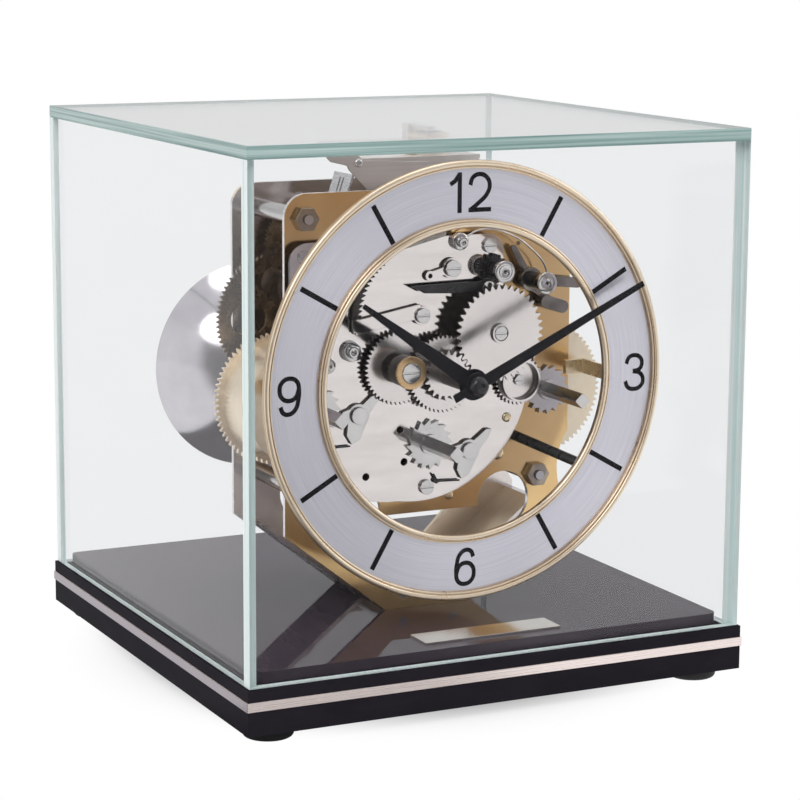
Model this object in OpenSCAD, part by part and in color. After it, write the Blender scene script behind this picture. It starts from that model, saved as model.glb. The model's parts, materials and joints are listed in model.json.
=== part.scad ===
// Chiming table clock: a skeleton movement with a ring dial under a glass hood on a black plinth.
// Millimetres. +X is the right of the dial, -Y is the front, +Z is up.
// The origin is the middle of the footprint, on the surface that the feet stand on.

/* [Plinth] */
// Width of the plinth
plinth_w = 230; // [222:1:260]
// Depth of the plinth
plinth_d = 234; // [226:1:270]
// Height of the plinth without its feet
plinth_h = 19; // [17:0.5:26]
// Height of the feet
foot_h = 5; // [3:0.5:9]
// Diameter of a foot
foot_d = 21; // [14:0.5:26]
// Distance from the plinth edge to a foot centre
foot_inset = 15; // [14:0.5:30]
// Height of the metal stripe
stripe_h = 3.8; // [2:0.1:5]
// Height of the stripe above the underside of the plinth
stripe_up = 10.2; // [6:0.1:11]
// Depth of the groove that holds the stripe
stripe_groove = 2; // [1:0.1:4]
// How far the stripe stands proud of the plinth
stripe_proud = 0.5; // [0.1:0.1:1]
// Gap left at each mitre of the stripe
mitre_gap = 0.1; // [0.05:0.05:0.4]

/* [Glass hood] */
// Thickness of the panes
glass_t = 5; // [3:0.5:6]
// Step from the plinth edge to the glass
glass_inset = 1; // [0.5:0.1:2]
// Height of the hood
hood_h = 214; // [210:1:240]

/* [Panel] */
// Thickness of the raised panel
panel_t = 5; // [3:0.5:8]
// Gap between the panel and the glass
panel_gap = 1.5; // [0.8:0.1:3]
// Radius of the panel's upright corners
panel_corner = 4; // [2:0.5:10]
// Length of the name plate
name_w = 63.5; // [40:0.5:90]
// Width of the name plate
name_d = 14.4; // [8:0.1:20]
// Thickness of the name plate
name_t = 1; // [0.5:0.1:2]
// Place of the name plate to the right of the middle
name_x = 2; // [-20:1:20]
// Distance from the front edge of the plinth to the middle of the name plate
name_y = 22; // [18:0.5:26]

/* [Dial] */
// Height of the hand axis above the panel
dial_up = 104; // [101:0.5:108]
// Outer radius of the dial with its rim
dial_r = 92.8; // [88:0.1:96]
// Radius of the dial opening
dial_open_r = 64.9; // [60:0.1:66]
// Width of the gold rims
rim_w = 3.6; // [2.5:0.1:5]
// Height of the gold rims above the dial face
rim_h = 2.4; // [1.5:0.1:3]
// Thickness of the dial ring
dial_t = 1.2; // [0.8:0.1:2]
// Distance from the dial face to the front plate
dial_ahead = 34; // [32:0.5:40]

/* [Movement frame] */
// Width of the movement plates
plate_w = 136; // [130:1:146]
// Height of the plates above the panel
plate_h = 182; // [178:0.5:188]
// Thickness of the plates
plate_t = 2; // [1.5:0.1:3]
// Clear space between the plates
plate_gap = 48; // [47:0.5:58]
// Front face of the front plate behind the middle of the plinth (negative is in front)
plate_y = -45.5; // [-50:0.5:-40]
// Width of the foot that the plates stand on
foot_bar_w = 42; // [36:1:56]
// Height of the foot bar
foot_bar_h = 14; // [10:0.5:18]
// Width of the slanted legs
leg_w = 13; // [9:0.5:16]
// Height above the panel at which the slanted legs leave the sides
leg_up = 37; // [30:0.5:44]
// Depth of the flange folded forward along the back plate's legs
flange_d = 25; // [10:0.5:28]
// Radius of the plates' top corners
plate_corner = 10; // [4:0.5:14]
// Radius of the pillars
pillar_r = 4; // [3:0.1:5]
// Radius of the threaded pillar ends
stud_r = 2; // [1.5:0.1:2.5]
// Width across flats of the nuts
nut_af = 9.5; // [6.5:0.1:11]
// Height of the nuts
nut_h = 3.4; // [2:0.1:5]
// Space between the front plate and the nickelled bridge plate
bridge_gap = 4; // [3:0.1:6]
// Thickness of the bridge plate
bridge_t = 1.5; // [1:0.1:2.5]

/* [Hands] */
// Length of the minute hand from the axis
minute_len = 88; // [70:0.5:89]
// Width of the minute hand at its root
minute_w = 5; // [3:0.1:6.5]
// Width of the minute hand at its tip
minute_tip_w = 2.3; // [1:0.1:3]
// Length of the minute hand's tail
minute_tail = 11.5; // [6:0.5:16]
// Length of the hour hand from the axis
hour_len = 62; // [45:0.5:64]
// Width of the hour hand at its root
hour_w = 7.4; // [5:0.1:9]
// Width of the hour hand at its tip
hour_tip_w = 2; // [1:0.1:3]
// Thickness of the hands
hand_t = 1; // [0.6:0.1:1.5]
// Time shown, minutes past twelve
shown_minutes = 610.7; // [0:0.1:720]

/* [Trains] */
// Module of the barrel teeth
barrel_m = 0.8; // [0.78:0.01:0.81]
// Length of a barrel drum
drum_len = 22; // [16:0.5:23]
// Radius of a barrel drum
drum_r = 26; // [22:0.5:26.5]
// Distance of the two side barrels from the hand axis, sideways
side_x = 56.5; // [56:0.5:60]
// Distance of the two side barrels below the hand axis
side_down = 12.5; // [11:0.5:15]
// Radius of the pivots
pivot_r = 0.8; // [0.6:0.05:1.2]
// Radius of the train arbors
arbor_r = 1.5; // [1.2:0.1:1.8]
// Running clearance of pivots and bores, on the radius
run_fit = 0.15; // [0.1:0.01:0.25]
// Thickness of the train wheels
wheel_t = 1.5; // [1:0.1:2]

/* [Winding] */
// Width across flats of the winding squares
square_af = 5; // [4:0.1:5.4]
// Radius of the ratchet wheels
ratchet_r = 11; // [9:0.1:12]
// Number of ratchet teeth
ratchet_teeth = 16; // [12:1:24]
// Distance from the arbor to the click pivot
click_reach = 19.5; // [18.5:0.1:22]
// Clear space between the click nose and the ratchet's tip circle
click_clear = 0.5; // [0.3:0.1:1]

/* [Bell] */
// Radius of the bell at its rim
bell_r = 46.5; // [38:0.5:48]
// Depth of the bell
bell_depth = 32; // [24:0.5:36]
// Wall of the bell
bell_wall = 1.6; // [1:0.1:2.5]
// Distance of the bell's axis to the left of the middle
bell_left = 42; // [40:0.5:52]
// Distance of the bell's axis below the hand axis
bell_down = 8; // [2:0.5:12]
// Distance from the back plate to the bell's crown
bell_back = 5.5; // [4:0.5:10]

/* [Hidden] */
$fn = 64;

// Levels of the case
plinth_z = foot_h;
plinth_top = plinth_z + plinth_h;
panel_top = plinth_top + panel_t;
glass_hw = plinth_w/2 - glass_inset;
glass_hd = plinth_d/2 - glass_inset;
stripe_z = plinth_z + stripe_up;
panel_hw = glass_hw - glass_t - panel_gap;
panel_hd = glass_hd - glass_t - panel_gap;

// Levels of the movement, front to back
hand_z = panel_top + dial_up;
plate_top = panel_top + plate_h;
front_in = plate_y + plate_t;
back_in = front_in + plate_gap;
back_out = back_in + plate_t;
bridge_back = plate_y - bridge_gap;
bridge_front = bridge_back - bridge_t;
dial_face = plate_y - dial_ahead;
dial_back = dial_face + dial_t;
axle_clear = 0.3;

// Fits, and the sizes of the studs that the front pieces turn on
push_fit = 0.02;
wheel_stud_r = 1.5;
roller_stud_r = 2;
winder_r = 3;
click_hole_r = 2.2;
time_click_dir = -13;
strike_click_dir = -10;
chime_click_dir = 185;

// Corners of the frame
pillar_inset = 9.2;
pillar_top_drop = 10.5;
pillar_low_up = 54;
pillar_low_inset = 16;
pillar_low_shift = 4;
pillar_side = plate_w/2 - pillar_inset;
pillar_top_z = plate_top - pillar_top_drop;
pillar_low_z = panel_top + pillar_low_up;
pillar_low_side = plate_w/2 - pillar_low_inset;
foot_pillar_x = 12;
foot_pillar_up = 6;
foot_pillar_z = panel_top + foot_pillar_up;
pillar_places = [
  [-pillar_side, pillar_top_z], [pillar_side, pillar_top_z],
  [-pillar_low_side - pillar_low_shift, pillar_low_z], [pillar_low_side, pillar_low_z]
];
foot_places = [[-foot_pillar_x, foot_pillar_z], [foot_pillar_x, foot_pillar_z]];

// A point at a distance and angle from another, in the plane of the dial
function polar(c, r, a) = [c[0] + r*cos(a), c[1] + r*sin(a)];
function pitch_r(teeth, m) = teeth*m/2;
function spacing(za, zb, m) = (za + zb)*m/2;
// Rotation of wheel b so that it meshes with wheel a, which lies the other way along angle th
function mesh(za, zb, th, turn_a) = th + 180 + 180/zb - (turn_a - th)*za/zb;

// Tooth counts
great_teeth = 72;
time_great_teeth = 66;
second_pinion = 12;
second_teeth = 84;
second_m = 0.7;
third_pinion = 10;
strike_third_teeth = 56;
strike_third_m = 0.55;
fly_pinion = 10;
centre_pinion = 12;
centre_teeth = 80;
centre_m = 0.68;
time_third_teeth = 80;
time_third_m = 0.6;
fourth_pinion = 10;
cannon_teeth = 15;
minute_teeth = 45;
minute_pinion = 12;
hour_teeth = 48;
motion_m = 0.67;
night_pinion = 20;
night_teeth = 40;
night_m = 1;
count_teeth = 32;
count_m = 0.66;

// Places of the arbors
centre_at = [0, hand_z];
time_drop = spacing(time_great_teeth, centre_pinion, barrel_m);
time_left = 3.6;
time_at = [-time_left, hand_z - sqrt(time_drop*time_drop - time_left*time_left)];
strike_at = [-side_x, hand_z - side_down];
chime_at = [side_x, hand_z - side_down];
second_gap = spacing(great_teeth, second_pinion, barrel_m);
third_gap = spacing(second_teeth, third_pinion, second_m);
fly_gap = spacing(strike_third_teeth, fly_pinion, strike_third_m);
second_dir = 80;
third_dir = 75;
fly_dir = 69;
strike_second_at = polar(strike_at, second_gap, second_dir);
strike_third_at = polar(strike_second_at, third_gap, third_dir);
strike_fly_at = polar(strike_third_at, fly_gap, fly_dir);
chime_second_at = polar(chime_at, second_gap, 180 - second_dir);
chime_third_at = polar(chime_second_at, third_gap, 180 - third_dir);
chime_fly_at = polar(chime_third_at, fly_gap, 180 - fly_dir);
time_third_dir = 75;
time_fourth_dir = 105;
time_third_at = polar(centre_at, spacing(centre_teeth, third_pinion, centre_m), time_third_dir);
time_fourth_gap = spacing(time_third_teeth, fourth_pinion, time_third_m);
time_fourth_at = polar(time_third_at, time_fourth_gap, time_fourth_dir);
minute_dir = 170.4;
minute_at = polar(centre_at, spacing(cannon_teeth, minute_teeth, motion_m), minute_dir);
night_dir = 33.5;
night_at = polar(centre_at, spacing(night_pinion, night_teeth, night_m), night_dir);
count_right = 38.7;
count_down = 5.9;
count_at = [count_right, hand_z - count_down];
rack_left = 8;
rack_up = 25;
rack_at = [-rack_left, hand_z + rack_up];
lift_right = 22;
lift_up = 35.5;
lift_at = [lift_right, hand_z + lift_up];
silence_right = 6.3;
silence_up = 44.3;
silence_at = [silence_right, hand_z + silence_up];
roller_a_right = 26;
roller_a_up = 43;
roller_a_at = [roller_a_right, hand_z + roller_a_up];
roller_b_right = 46.5;
roller_b_up = 37;
roller_b_at = [roller_b_right, hand_z + roller_b_up];
bell_at = [-bell_left, hand_z - bell_down];
hammer_right = 18;
hammer_down = 48;
hammer_at = [hammer_right, hand_z - hammer_down];

// Levels of the trains between the plates
wheel_room = 14;
wheel_step = (plate_gap - drum_len - wheel_room)/4;
side_drum_y = front_in + 2.5;
strike_wheel_y = side_drum_y + drum_len;
chime_wheel_y = side_drum_y - 0.5;
time_drum_y = front_in + 5.5;
time_wheel_y = time_drum_y + drum_len + 0.5;
centre_wheel_y = time_wheel_y + wheel_step + 1;
second_wheel_y = centre_wheel_y + wheel_step;
time_third_y = second_wheel_y + wheel_step;
strike_third_y = time_third_y + wheel_step;
chime_third_y = time_wheel_y + 3;
fourth_wheel_y = front_in + 23;
fly_y = front_in + 9.7;
fly_len = 18;
fly_reach = 15;

// Levels in front of the bridge plate
ratchet_t = 1.6;
ratchet_y = bridge_front - 0.3 - ratchet_t;
chime_ratchet_y = plate_y - 0.3 - ratchet_t;
minute_wheel_y = bridge_front - 4.2;
cannon_y = minute_wheel_y - 0.4;
minute_pinion_y = minute_wheel_y - 3.4;
hour_wheel_y = minute_wheel_y - 2.9;
night_y = hour_wheel_y - 3.6;
collar_front = hour_wheel_y - 8.4;
collar_clear = 0.5;
collar_r = 6.6;
night_ring_r = 4.2;
night_ring_in = 3.3;
ring_up = 1.3;
rack_y = bridge_front - 2.4;
lever_y = bridge_front - 4.6;
winder_front = dial_back;
hour_hand_y = dial_face - 6.5;
minute_hand_y = hour_hand_y - hand_t - 2;
arbor_front = minute_hand_y - 1.6;
nut_front = minute_hand_y - 4;
pipe_r = 4;
pipe_bore = 2.6;
centre_front_r = 2.4;

// Extrudes a shape drawn in the plane of the dial from one level to another, front to back
module slab(y0, y1) {
  translate([0, y1, 0])
    rotate([90, 0, 0])
      linear_extrude(height = y1 - y0)
        children();
}

// A round rod along Y
module rod(at, y0, y1, r) {
  translate([at[0], y1, at[1]])
    rotate([90, 0, 0])
      cylinder(h = y1 - y0, r = r);
}

// A rounded rectangle drawn about its middle, with true arcs
module round_rect(w, d, r) {
  square([w - 2*r, d], center = true);
  square([w, d - 2*r], center = true);
  for (sx = [-1, 1], sy = [-1, 1])
    translate([sx*(w/2 - r), sy*(d/2 - r)])
      circle(r);
}

// Points of an involute wheel with slim teeth, which leaves backlash
press = 25;
slim = 0.84;
addendum = 0.8;
dedendum = 1.1;
function inv_deg(r, rb) = r <= rb ? 0 : tan(acos(rb/r))*180/PI - acos(rb/r);
function half_tooth(r, z, m) =
  let (rb = pitch_r(z, m)*cos(press))
  90/z*slim + inv_deg(pitch_r(z, m), rb) - inv_deg(r, rb);
function at_angle(r, a) = [r*cos(a), r*sin(a)];
function wheel_points(z, m) =
  let (
    rp = pitch_r(z, m),
    rt = rp + addendum*m,
    rr = rp - dedendum*m,
    hp = half_tooth(rp, z, m),
    ht = half_tooth(rt, z, m),
    hr = half_tooth(rr, z, m)
  )
  [for (i = [0 : z - 1]) let (a = i*360/z) each [
    at_angle(rr, a - hr), at_angle(rp, a - hp), at_angle(rt, a - ht),
    at_angle(rt, a + ht), at_angle(rp, a + hp), at_angle(rr, a + hr)
  ]];
module toothed(at, z, m, turn) {
  translate(at)
    rotate(turn)
      polygon(wheel_points(z, m));
}
// A wheel of a train, with round windows between its arms
module wheel(at, z, m, turn, y0, t, windows = 0) {
  slab(y0, y0 + t)
    difference() {
      toothed(at, z, m, turn);
      for (i = [0 : 1 : windows - 1])
        translate(polar(at, pitch_r(z, m)*0.56, turn + i*360/windows))
          circle(pitch_r(z, m)*0.24);
    }
}
// A train arbor that runs in both plates
module train_arbor(at) {
  rod(at, front_in + axle_clear, back_in - axle_clear, arbor_r);
  rod(at, plate_y, back_out, pivot_r);
}

// Outline shared by the two plates
leg_z = panel_top + leg_up;
foot_z = panel_top;
half_w = plate_w/2;
half_foot = foot_bar_w/2;
waist_r = 29;
waist_depth = 5;
waist_z = panel_top + 56;
leg_run = half_w - half_foot;
leg_rise = leg_z - foot_z;
leg_len = sqrt(leg_run*leg_run + leg_rise*leg_rise);
// Sideways shift that moves a leg line inwards by a width
function leg_shift(w) = w*leg_len/leg_rise;
arch_r = 12.5;
arch_x = 36;
window_top = panel_top + 42;
window_low = foot_z + foot_bar_h;
function leg_x(z) = half_foot + leg_run*(z - foot_z)/leg_rise - leg_shift(leg_w);

module plate_outline() {
  difference() {
    union() {
      polygon([
        [-half_w, leg_z], [-half_foot, foot_z], [half_foot, foot_z], [half_w, leg_z],
        [half_w, plate_top - plate_corner], [-half_w, plate_top - plate_corner]
      ]);
      translate([-half_w + plate_corner, plate_top - 2*plate_corner])
        square([plate_w - 2*plate_corner, 2*plate_corner]);
      for (s = [-1, 1])
        translate([s*(half_w - plate_corner), plate_top - plate_corner])
          circle(plate_corner);
    }
    polygon([
      [-leg_x(window_low), window_low], [leg_x(window_low), window_low],
      [arch_x + arch_r*0.8, window_top], [-arch_x - arch_r*0.8, window_top]
    ]);
    for (s = [-1, 1])
      translate([s*arch_x, window_top + 2])
        circle(arch_r);
    translate([half_w + waist_r - waist_depth, waist_z])
      circle(waist_r);
    for (p = pillar_places)
      translate(p)
        circle(stud_r + 0.1);
    for (p = foot_places)
      translate(p)
        circle(stud_r + 0.1);
    for (p = pivot_places)
      translate(p)
        circle(pivot_r + run_fit);
    for (p = [strike_at, time_at, chime_at])
      translate(p)
        circle(winder_r + run_fit);
  }
}
pivot_places = [
  strike_second_at, strike_third_at, strike_fly_at,
  chime_second_at, chime_third_at, chime_fly_at, time_third_at, time_fourth_at
];

// Plinth, with a groove for the stripe and bores for the screws that hold the movement
seat_screw_r = 2;
seat_head_r = 4;
seat_head_h = 3;
seat_y = (front_in + back_in)/2;
seat_gap_y = 16;
seat_places = [for (x = [-foot_pillar_x, foot_pillar_x]) for (s = [-1, 1]) [x, seat_y + s*seat_gap_y]];
module plinth() {
  color("#1e1a20")
    difference() {
      translate([-plinth_w/2, -plinth_d/2, plinth_z])
        cube([plinth_w, plinth_d, plinth_h]);
      difference() {
        translate([-plinth_w/2 - 1, -plinth_d/2 - 1, stripe_z])
          cube([plinth_w + 2, plinth_d + 2, stripe_h]);
        translate([-plinth_w/2 + stripe_groove, -plinth_d/2 + stripe_groove, stripe_z - 1])
          cube([plinth_w - 2*stripe_groove, plinth_d - 2*stripe_groove, stripe_h + 2]);
      }
      for (p = seat_places) {
        translate([p[0], p[1], plinth_z - 1])
          cylinder(h = plinth_h + 2, r = seat_screw_r + 0.2);
        translate([p[0], p[1], plinth_z - 1])
          cylinder(h = seat_head_h + 2, r = seat_head_r + 0.3);
      }
    }
}

// Bright stripe of four mitred strips
module strip(len, off) {
  translate([0, -off, stripe_z])
    linear_extrude(height = stripe_h)
      polygon([
        [-len/2 - stripe_proud + mitre_gap, -stripe_proud],
        [len/2 + stripe_proud - mitre_gap, -stripe_proud],
        [len/2 - stripe_groove - mitre_gap, stripe_groove],
        [-len/2 + stripe_groove + mitre_gap, stripe_groove]
      ]);
}
module trim_band() {
  color("#d8cccb")
    for (s = [0, 180]) {
      rotate(s)
        strip(plinth_w, plinth_d/2);
      rotate(s + 90)
        strip(plinth_d, plinth_w/2);
    }
}

module display_panel() {
  color("#2b2930")
    translate([0, 0, plinth_top])
      difference() {
        linear_extrude(height = panel_t)
          round_rect(2*panel_hw, 2*panel_hd, panel_corner);
        for (p = seat_places)
          translate([p[0], p[1], -1])
            cylinder(h = panel_t + 2, r = seat_screw_r + 0.2);
      }
}

module feet() {
  color("#151416")
    for (sx = [-1, 1], sy = [-1, 1])
      translate([sx*(plinth_w/2 - foot_inset), sy*(plinth_d/2 - foot_inset), 0]) {
        cylinder(h = 1, r1 = foot_d/2 - 1, r2 = foot_d/2);
        translate([0, 0, 1])
          cylinder(h = foot_h - 1, r = foot_d/2);
      }
}

module name_plate() {
  color("#e4dfd8")
    translate([name_x - name_w/2, -plinth_d/2 + name_y - name_d/2, panel_top])
      cube([name_w, name_d, name_t]);
}

// Screws from under the plinth into the two pillars at the foot of the movement
module seat_screws() {
  color("silver")
    for (p = seat_places)
      translate([p[0], p[1], plinth_z + 0.6]) {
        cylinder(h = seat_head_h, r = seat_head_r);
        cylinder(h = foot_pillar_z - plinth_z - 0.6, r = seat_screw_r);
      }
}

// Glass hood: the front and back panes cover the ends of the side panes, the top covers all four.
// A larger dial lifts the top pane, so that the rim keeps its headroom.
head_room = 2;
hood_rise = max(hood_h, hand_z + dial_r + head_room + glass_t - plinth_top);
side_h = hood_rise - glass_t;
module pane(w, d, h, at) {
  color("#cfe8e2", 0.4)
    translate([at[0] - w/2, at[1] - d/2, at[2]])
      cube([w, d, h]);
}
module glass_front() {
  pane(2*glass_hw, glass_t, side_h, [0, -glass_hd + glass_t/2, plinth_top]);
}
module glass_back() {
  pane(2*glass_hw, glass_t, side_h, [0, glass_hd - glass_t/2, plinth_top]);
}
module glass_left() {
  pane(glass_t, 2*(glass_hd - glass_t), side_h, [-glass_hw + glass_t/2, 0, plinth_top]);
}
module glass_right() {
  pane(glass_t, 2*(glass_hd - glass_t), side_h, [glass_hw - glass_t/2, 0, plinth_top]);
}
module glass_top() {
  pane(2*glass_hw, 2*glass_hd, glass_t, [0, 0, plinth_top + side_h]);
}

peep_r = 7;
peep_at = [-half_w + 13, pillar_top_z - 19.5];
module front_plate() {
  color("#b58a50")
    slab(plate_y, front_in)
      difference() {
        plate_outline();
        translate(peep_at)
          circle(peep_r);
        translate(centre_at)
          circle(arbor_r + run_fit + 0.5);
      }
}

// Back plate, with a flange folded forward along each slanted leg
module leg_strip(s) {
  polygon([
    [s*half_foot, foot_z], [s*half_w, leg_z],
    [s*(half_w - leg_shift(plate_t)), leg_z], [s*(half_foot - leg_shift(plate_t)), foot_z]
  ]);
}
module back_plate() {
  color("#b08a58") {
    slab(back_in, back_out)
      difference() {
        plate_outline();
        translate(centre_at)
          circle(pivot_r + run_fit);
      }
    for (s = [-1, 1])
      slab(back_in - flange_d, back_in + 0.5)
        leg_strip(s);
  }
}

module plate_pillars() {
  color("#b9b6ba") {
    for (p = pillar_places) {
      rod(p, front_in, back_in, pillar_r);
      rod(p, plate_y - nut_h - 1.2, back_out + nut_h + 1.2, stud_r);
    }
    for (p = foot_places)
      difference() {
        union() {
          rod(p, front_in, back_in, pillar_r);
          rod(p, plate_y, back_out, stud_r);
        }
        for (q = seat_places)
          translate([q[0], q[1], foot_pillar_z - 2*pillar_r])
            cylinder(h = 2*pillar_r + 0.4, r = seat_screw_r + 0.2);
      }
  }
}

module nut(at, y0) {
  difference() {
    translate([at[0], y0 + nut_h, at[1]])
      rotate([90, 0, 0])
        cylinder(h = nut_h, r = nut_af/sqrt(3), $fn = 6);
    rod(at, y0 - 1, y0 + nut_h + 1, stud_r + 0.1);
  }
}
module pillar_nuts() {
  color("#c9c6c8")
    for (p = pillar_places) {
      nut(p, plate_y - nut_h);
      nut(p, back_out);
    }
}

// Nickelled bridge plate in front of the front plate
bridge_c_left = 8.5;
bridge_c_down = 2;
bridge_c = [-bridge_c_left, hand_z - bridge_c_down];
bridge_r = 53.8;
bridge_low_left = 20;
bridge_low_down = 9;
bridge_low_c = [-bridge_low_left, hand_z - bridge_low_down];
bridge_low_r = 46;
bridge_left = -plate_w/2;
bridge_right = 32;
bridge_drop = 29;
bridge_rise = 58;
bridge_low = hand_z - bridge_drop;
bridge_high = hand_z + bridge_rise;
bridge_corner = 8;
post_inset = 7;
post_up = 14;
post_edge = 6;
post_right_edge = 5;
post_low_right = 4;
bridge_post_places = [
  [bridge_left + post_inset, hand_z + post_up], [bridge_left + post_inset, bridge_high - post_edge],
  [bridge_right - post_inset, bridge_high - post_right_edge],
  [bridge_c[0] + post_low_right, bridge_c[1] - bridge_r + post_edge]
];
// Spare holes in the bridge plate, from the hand axis
spare_hole_r = 1.6;
spare_holes = [[-37, 9], [-17, -24], [-15, -38], [-33, -43]];
module bridge_plate() {
  color("#dcd5d3")
    slab(bridge_front, bridge_back)
      difference() {
        union() {
          translate(bridge_c)
            circle(bridge_r);
          translate(bridge_low_c)
            circle(bridge_low_r);
          translate([(bridge_left + bridge_right)/2, (bridge_low + bridge_high)/2])
            round_rect(bridge_right - bridge_left, bridge_high - bridge_low, bridge_corner);
        }
        translate(centre_at)
          circle(arbor_r + run_fit + 0.5);
        for (p = [strike_at, time_at])
          translate(p)
            circle(winder_r + run_fit);
        for (p = bridge_post_places)
          translate(p)
            circle(stud_r + 0.1);
        for (p = bridge_studs)
          translate(p[0])
            circle(p[1] + push_fit);
        for (p = spare_holes)
          translate(centre_at + p)
            circle(spare_hole_r);
      }
}
bridge_studs = [
  [minute_at, wheel_stud_r], [night_at, wheel_stud_r], [count_at, wheel_stud_r], [rack_at, wheel_stud_r],
  [lift_at, wheel_stud_r], [silence_at, wheel_stud_r], [roller_a_at, roller_stud_r],
  [polar(time_at, click_reach, time_click_dir), click_hole_r - run_fit],
  [polar(strike_at, click_reach, strike_click_dir), click_hole_r - run_fit]
];

// Posts between the front plate and the bridge plate, each with its slotted screw head in front
post_r = 3.2;
post_head_h = 1.6;
post_slot_w = 0.7;
post_slot_deep = 0.6;
module bridge_posts() {
  color("#c8c5c6")
    for (p = bridge_post_places)
      difference() {
        union() {
          rod(p, bridge_back, plate_y, post_r);
          rod(p, bridge_front - post_head_h, bridge_back, stud_r);
          rod(p, bridge_front - post_head_h, bridge_front, post_r);
        }
        translate([p[0] - post_r - 1, bridge_front - post_head_h - 1, p[1] - post_slot_w/2])
          cube([2*post_r + 2, post_slot_deep + 1, post_slot_w]);
      }
}

// Turned studs and rivets fixed in the plates: they carry the front wheels, levers, clicks and hammer
module headed_stud(at, y_seat, y_front, r, head_r, head_h) {
  difference() {
    union() {
      rod(at, y_front, y_seat, r);
      rod(at, y_front - head_h, y_front, head_r);
    }
    translate([at[0] - head_r - 1, y_front - head_h - 0.4, at[1] - 0.4])
      cube([2*head_r + 2, 1, 0.8]);
  }
}
head_gap = 0.4;
minute_head_r = 4.2;
count_head_r = 2.4;
rack_head_r = 3.2;
lift_head_r = 3;
silence_head_r = 3.6;
silence_ahead = 2.4;
thin_head = 1;
lever_head = 1.2;
silence_head = 1.4;
roller_r = 4;
roller_len = 3;
roller_ahead = 9;
hammer_set_back = 30;
hammer_stud_r = 2;
hammer_cap_r = 3.5;
hammer_cap_h = 1.5;
hammer_cap_back = 9;
hammer_y = back_out + hammer_set_back;
module plate_studs() {
  color("#cfcaca") {
    headed_stud(minute_at, bridge_back, collar_front - head_gap, wheel_stud_r, minute_head_r, thin_head);
    headed_stud(night_at, bridge_back, night_y - head_gap, wheel_stud_r, night_ring_in - 0.3, 0.9);
    headed_stud(count_at, bridge_back, count_y - head_gap, wheel_stud_r, count_head_r, thin_head);
    headed_stud(rack_at, bridge_back, rack_y - head_gap, wheel_stud_r, rack_head_r, lever_head);
    headed_stud(lift_at, bridge_back, lever_y - head_gap, wheel_stud_r, lift_head_r, lever_head);
    headed_stud(silence_at, bridge_back, bridge_front - silence_ahead, wheel_stud_r, silence_head_r,
                silence_head);
    headed_stud(roller_a_at, bridge_back, bridge_front - roller_ahead, roller_stud_r, roller_r, roller_len);
    headed_stud(roller_b_at, plate_y, bridge_front - roller_ahead, roller_stud_r, roller_r, roller_len);
    for (w = [[time_at, time_click_dir, ratchet_y, bridge_back],
              [strike_at, strike_click_dir, ratchet_y, bridge_back],
              [chime_at, chime_click_dir, chime_ratchet_y, plate_y]])
      click_stud(w[0], w[1], w[2], w[3]);
    rod(hammer_at, back_out, hammer_y + hammer_cap_back, hammer_stud_r);
    rod(hammer_at, hammer_y + hammer_cap_back, hammer_y + hammer_cap_back + hammer_cap_h, hammer_cap_r);
  }
}

// Dial: a flat ring with a round-topped rim at each edge
module ring(y0, y1, r_in, r_out) {
  slab(y0, y1)
    translate(centre_at)
      difference() {
        circle(r_out, $fn = 128);
        circle(r_in, $fn = 128);
      }
}
module rim(r_in) {
  crown = rim_w/2;
  translate([0, dial_face, hand_z])
    rotate([90, 0, 0])
      rotate_extrude($fn = 128) {
        translate([r_in, 0])
          square([rim_w, rim_h - crown]);
        translate([r_in + crown, rim_h - crown])
          intersection() {
            circle(crown);
            translate([-crown, 0])
              square([rim_w, crown]);
          }
      }
}
module dial_ring() {
  color("#c5c2cc")
    ring(dial_face, dial_back, dial_open_r + 0.6, dial_r - 0.6);
}
module dial_rims() {
  color("#ebcfa8") {
    rim(dial_r - rim_w);
    rim(dial_open_r);
  }
}

// Brass brackets that carry the dial ring from the sides of the front plate
bracket_w = 6.4;
bracket_t = 1.2;
bracket_reach = dial_open_r + 11;
bracket_z = hand_z - 3.5;
bracket_seat = 2;
module dial_brackets() {
  color("#cdaa6c")
    for (s = [-1, 1])
      mirror([s < 0 ? 1 : 0, 0, 0]) {
        translate([half_w - bracket_seat, plate_y - bracket_t, bracket_z - bracket_w/2])
          cube([bracket_reach - half_w + bracket_seat, bracket_t, bracket_w]);
        translate([bracket_reach - bracket_t, dial_back, bracket_z - bracket_w/2])
          cube([bracket_t, plate_y - dial_back, bracket_w]);
        translate([bracket_reach - bracket_t, dial_back, bracket_z - bracket_w/2])
          cube([10, bracket_t, bracket_w]);
      }
}

// Slanted dark strut between the front plate and the dial ring, at four o'clock
strut_from = [40.5, hand_z - 31.6];
strut_to = [55.5, hand_z - 39.5];
strut_r = 2.2;
module dial_strut() {
  run = [strut_to[0] - strut_from[0], dial_back - plate_y, strut_to[1] - strut_from[1]];
  len = norm(run);
  color("#3a3638")
    intersection() {
      translate([strut_from[0] - run[0]*0.2, plate_y - run[1]*0.2, strut_from[1] - run[2]*0.2])
        rotate([0, acos(run[2]/len), atan2(run[1], run[0])])
          cylinder(h = len*1.4, r = strut_r);
      translate([-plinth_w/2, dial_back, panel_top])
        cube([plinth_w, plate_y - dial_back, plate_h]);
    }
}

// Centre arbor: pinion and centre wheel between the plates, cannon pinion and post for the hands in front
centre_turn = mesh(time_great_teeth, centre_pinion, 90 - asin(time_left/time_drop), 0);
module centre_arbor() {
  color("#c9a563") {
    rod(centre_at, cannon_y, back_in - axle_clear, arbor_r);
    rod(centre_at, back_in - axle_clear - 0.1, back_out, pivot_r);
    rod(centre_at, arbor_front, cannon_y, centre_front_r);
    wheel(centre_at, centre_pinion, barrel_m, centre_turn, time_wheel_y - 0.3, wheel_t + 1.1);
    wheel(centre_at, centre_teeth, centre_m, 0, centre_wheel_y, wheel_t, 5);
    wheel(centre_at, cannon_teeth, motion_m, 0, cannon_y, 2.6);
  }
}

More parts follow.
